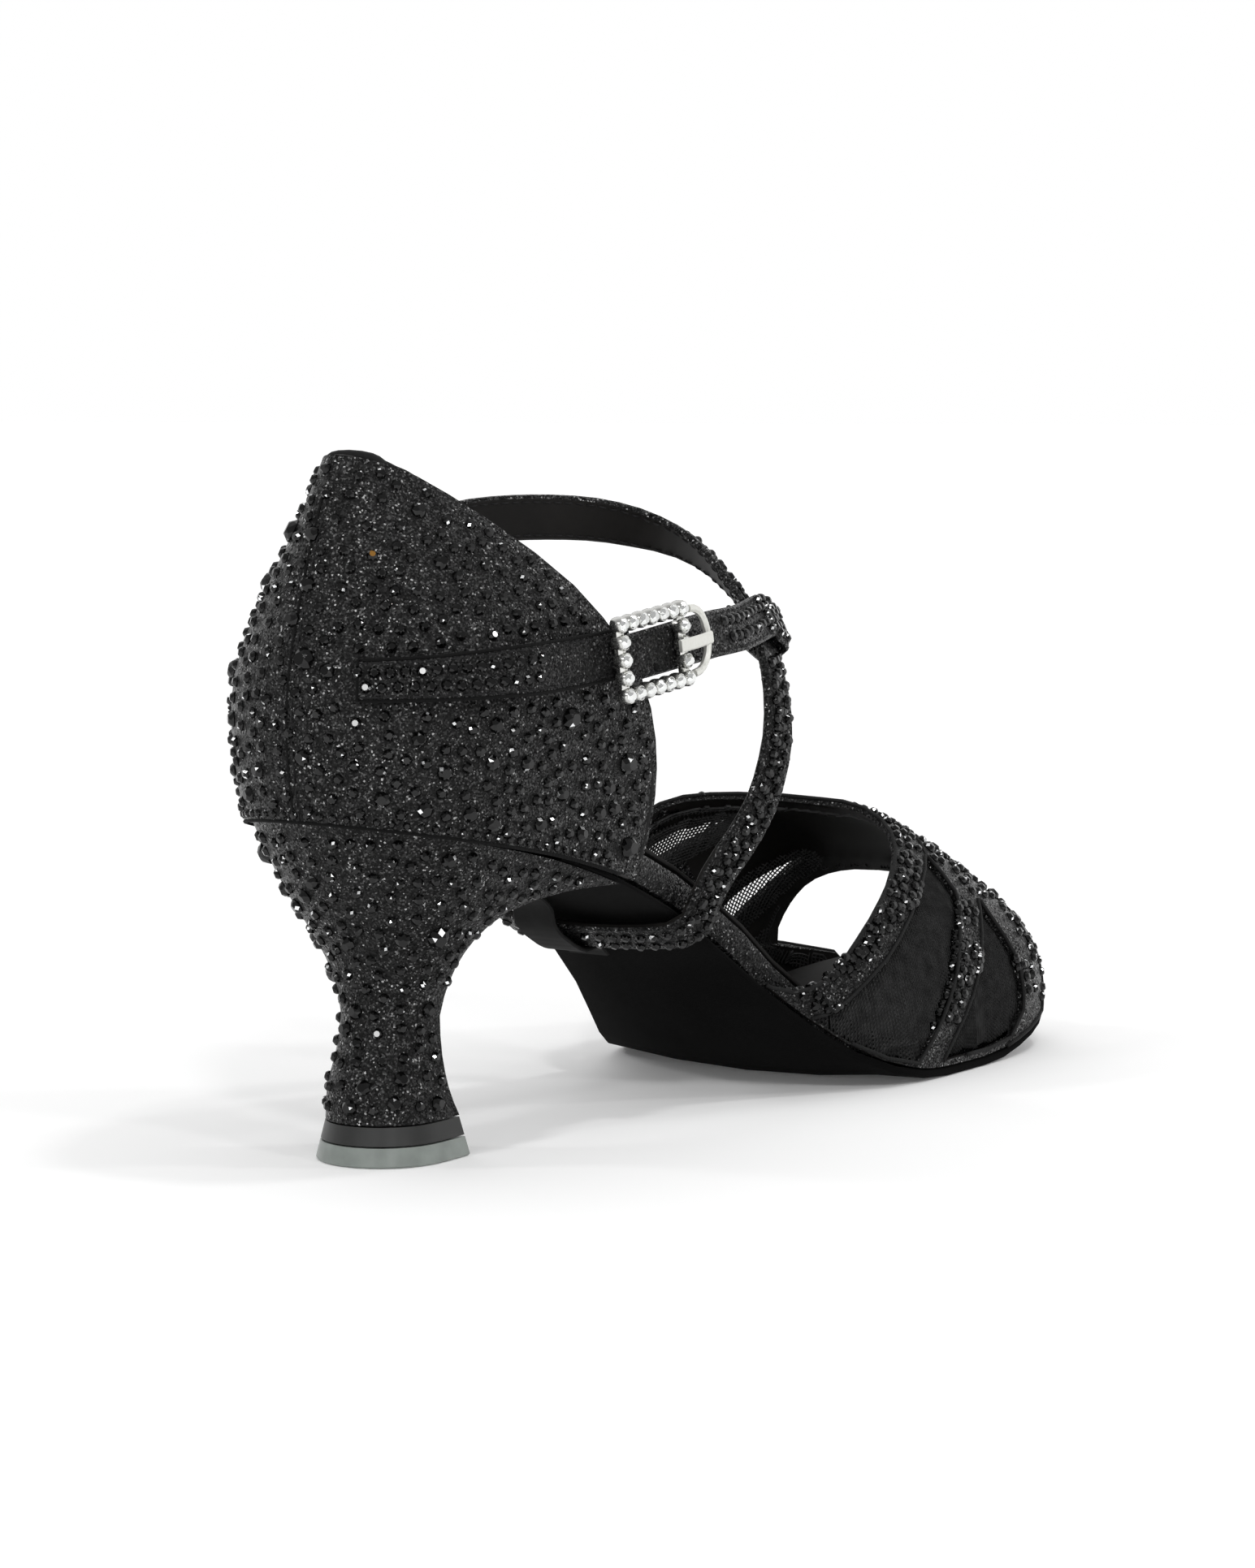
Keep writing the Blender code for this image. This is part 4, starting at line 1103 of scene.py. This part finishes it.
def weave_net():
    """Threads between neighbouring crossing points, each a flat strip and a thin upright one."""
    low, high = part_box("vamp_net")
    edges = near_points(rim_points("vamp_bands"))
    rows = []
    x = low[0] + 0.3 * MM
    while x < high[0]:
        row = net_row(x, edges)
        if row is not None:
            rows.append(row)
        x += NET_PITCH * MM
    half = NET_THREAD * MM / 2
    verts = []
    faces = []

    def thread(a, b):
        p, n, seen = a
        q = b[0]
        if not (seen or b[2]) or (q - p).length > 1.9 * NET_PITCH * MM:
            return
        wide = half * (1.35 if p.y < 0 else 1.0)
        for side in ((q - p).cross(n).normalized() * wide, n * wide * 1.5):
            k = len(verts)
            verts.extend((p - side, p + side, q + side, q - side))
            faces.append((k, k + 1, k + 2, k + 3))

    for i, row in enumerate(rows):
        for j, place in row.items():
            if j + 1 in row:
                thread(place, row[j + 1])
            if i + 1 < len(rows) and j in rows[i + 1]:
                thread(place, rows[i + 1][j])
    add_piece("net", verts, faces, [NET], "net", flat=True, replaces=("vamp_net",))


# Straps
def stone_straps(over, under, tab, loop):
    """Rows of stones on the outer faces of the straps."""
    bag = Bag()
    others = [tree(name) for name in ("elastic_keeper", "loop_strap", "outsole", "padded_board")]

    def free(p, out):
        return all(o.find_nearest(p + out * 1.6 * MM, 1.7 * MM)[0] is None for o in others)

    strap_stones(bag, 31, over, (-0.5, 0.05, 0.55), 3.3, free, 0.5)
    strap_stones(bag, 35, under, (-0.5, 0.3), 3.1, free, 0.4)
    strap_stones(bag, 32, tab, (-0.36, 0.36), 2.7, lambda p, out: p.x < -79 * MM, 0.15, 0.9)
    strap_stones(bag, 33, loop, (-0.42, 0.3), 2.6, lambda p, out: p.x > -26 * MM and out.y < -0.2, 0.15)
    fold = lambda p, out: p.x > -6 * MM and out.x > -0.2
    strap_stones(bag, 34, loop, (-0.75, -0.05, 0.65), 2.6, fold, 0.15)
    bag.done("strap_stones", STONE_MATS, "glitter_fabric", flat=True)


def edge_tab(tab):
    """Painted shade line round the raised edge of the tab strap, and a dark disc of painted shade for the
    punched hole in the loop strap.
    """
    bag = Bag()
    sides = [strap_edge(tab, share, 0.9) for share in (-0.97, 0.97)]
    # Near-black tube: painted shade line along the tab's raised edges
    tube(bag, sides[0][::-1] + sides[1], 0.3)
    hole, out = tree("loop_strap").find_nearest(HOLE_AT)[:2]
    # Near-black disc: painted shade inside the punched hole
    tube(bag, [hole - out * 0.1 * MM, hole + out * 0.05 * MM], HOLE_RADIUS, 14)
    bag.done("tab_edge_and_hole_shade", [SEAM_SHADE], "glitter_fabric")


def dress_straps():
    """Stones, painted shade along the tab's edges and in the strap hole, and stitches of the straps."""
    over = walk("long_strap", OVER_AT, OVER_WAY)
    under = walk("long_strap", UNDER_AT, UNDER_WAY)
    tab = walk("tab_strap", TAB_AT, TAB_WAY, 1.0)
    loop = walk("loop_strap", LOOP_AT, LOOP_WAY, 0.8)
    stone_straps(over, under, tab, loop)
    edge_tab(tab)
    bag = Bag()
    for frames, share, face in ((over, 0.74, -1), (tab, 0.8, 1), (loop, 0.8, 1)):
        for side in (-share, share):
            stitches(bag, strap_edge(frames, side, face), [f[3] * face for f in frames], 1.6, 0.7, 0.16)
    bag.done("strap_stitches", [THREAD], "glitter_fabric")


# Buckle: cups with crystals round a thin frame
def buckle_axes():
    """Middle of the buckle frame and its directions across, up and out."""
    tri = triangles("buckle_frame").reshape(-1, 3)
    centre = Vector((tri.min(axis=0) + tri.max(axis=0)) / 2)
    u, v, n = (Vector(q) for q in np.linalg.svd(tri - tri.mean(axis=0), full_matrices=False)[2])
    if n.y > 0:
        n = -n
    if u.x < 0:
        u = -u
    if v.z < 0:
        v = -v
    return centre, u, v, n


def cup():
    """Round metal cup, hollow in front."""
    verts = []
    for r, z in CUP_RINGS:
        for k in range(CUP_SIDES):
            a = 2 * math.pi * k / CUP_SIDES
            verts.append(Vector((r * math.cos(a), r * math.sin(a), z)) * MM)
    faces = [tuple(range(CUP_SIDES))[::-1]]
    for q in range(len(CUP_RINGS) - 1):
        faces += ring_faces(q * CUP_SIDES, (q + 1) * CUP_SIDES, CUP_SIDES)
    faces.append(tuple(range((len(CUP_RINGS) - 1) * CUP_SIDES, len(CUP_RINGS) * CUP_SIDES)))
    return verts, faces


def crystal_buckle():
    """Frame bar, cups and crystals of the buckle."""
    centre, u, v, n = buckle_axes()
    du = BUCKLE_WIDTH * MM / CUPS_ACROSS
    dv = BUCKLE_HEIGHT * MM / CUPS_UP

    def at(i, j, out=0.0):
        return centre + u * du * (i - CUPS_ACROSS / 2) + v * dv * (j - CUPS_UP / 2) + n * out * MM

    places = [(i, j) for i in range(CUPS_ACROSS + 1) for j in range(CUPS_UP + 1)
              if i in (0, CUPS_ACROSS) or j in (0, CUPS_UP)]
    corners = ((0, 0), (CUPS_ACROSS, 0), (CUPS_ACROSS, CUPS_UP), (0, CUPS_UP))
    bag = Bag()
    bar = [at(i, j, -0.5) for i, j in corners]
    tube(bag, dense(bar, 1.5, True), 1.05, 8, closed=True)
    for i, j in places:
        bag.put(*cup(), basis(at(i, j), n, u))
    obj = bag.done("buckle_cups", [SILVER], "silver", replaces=("buckle_frame",))
    obj.data.set_sharp_from_angle(angle=math.radians(40))
    bag = Bag()
    rng = random.Random(41)
    verts, faces = gem(*CRYSTAL_SIZE, 8, 0.5)
    for i, j in places:
        bag.put(verts, faces, basis(at(i, j, 0.7), n, u) @ Matrix.Rotation(rng.uniform(0, 0.8), 4, "Z"))
    bag.done("buckle_crystals", [CRYSTAL], "silver", flat=True)


set_camera()
set_stage()
dress_upper()
stone_counter()
stone_heel()
bind_topline()
pipe_bands()
join_heel()
seam_back()
stone_vamp()
stone_crest()
stone_rim()
weave_net()
dress_straps()
crystal_buckle()
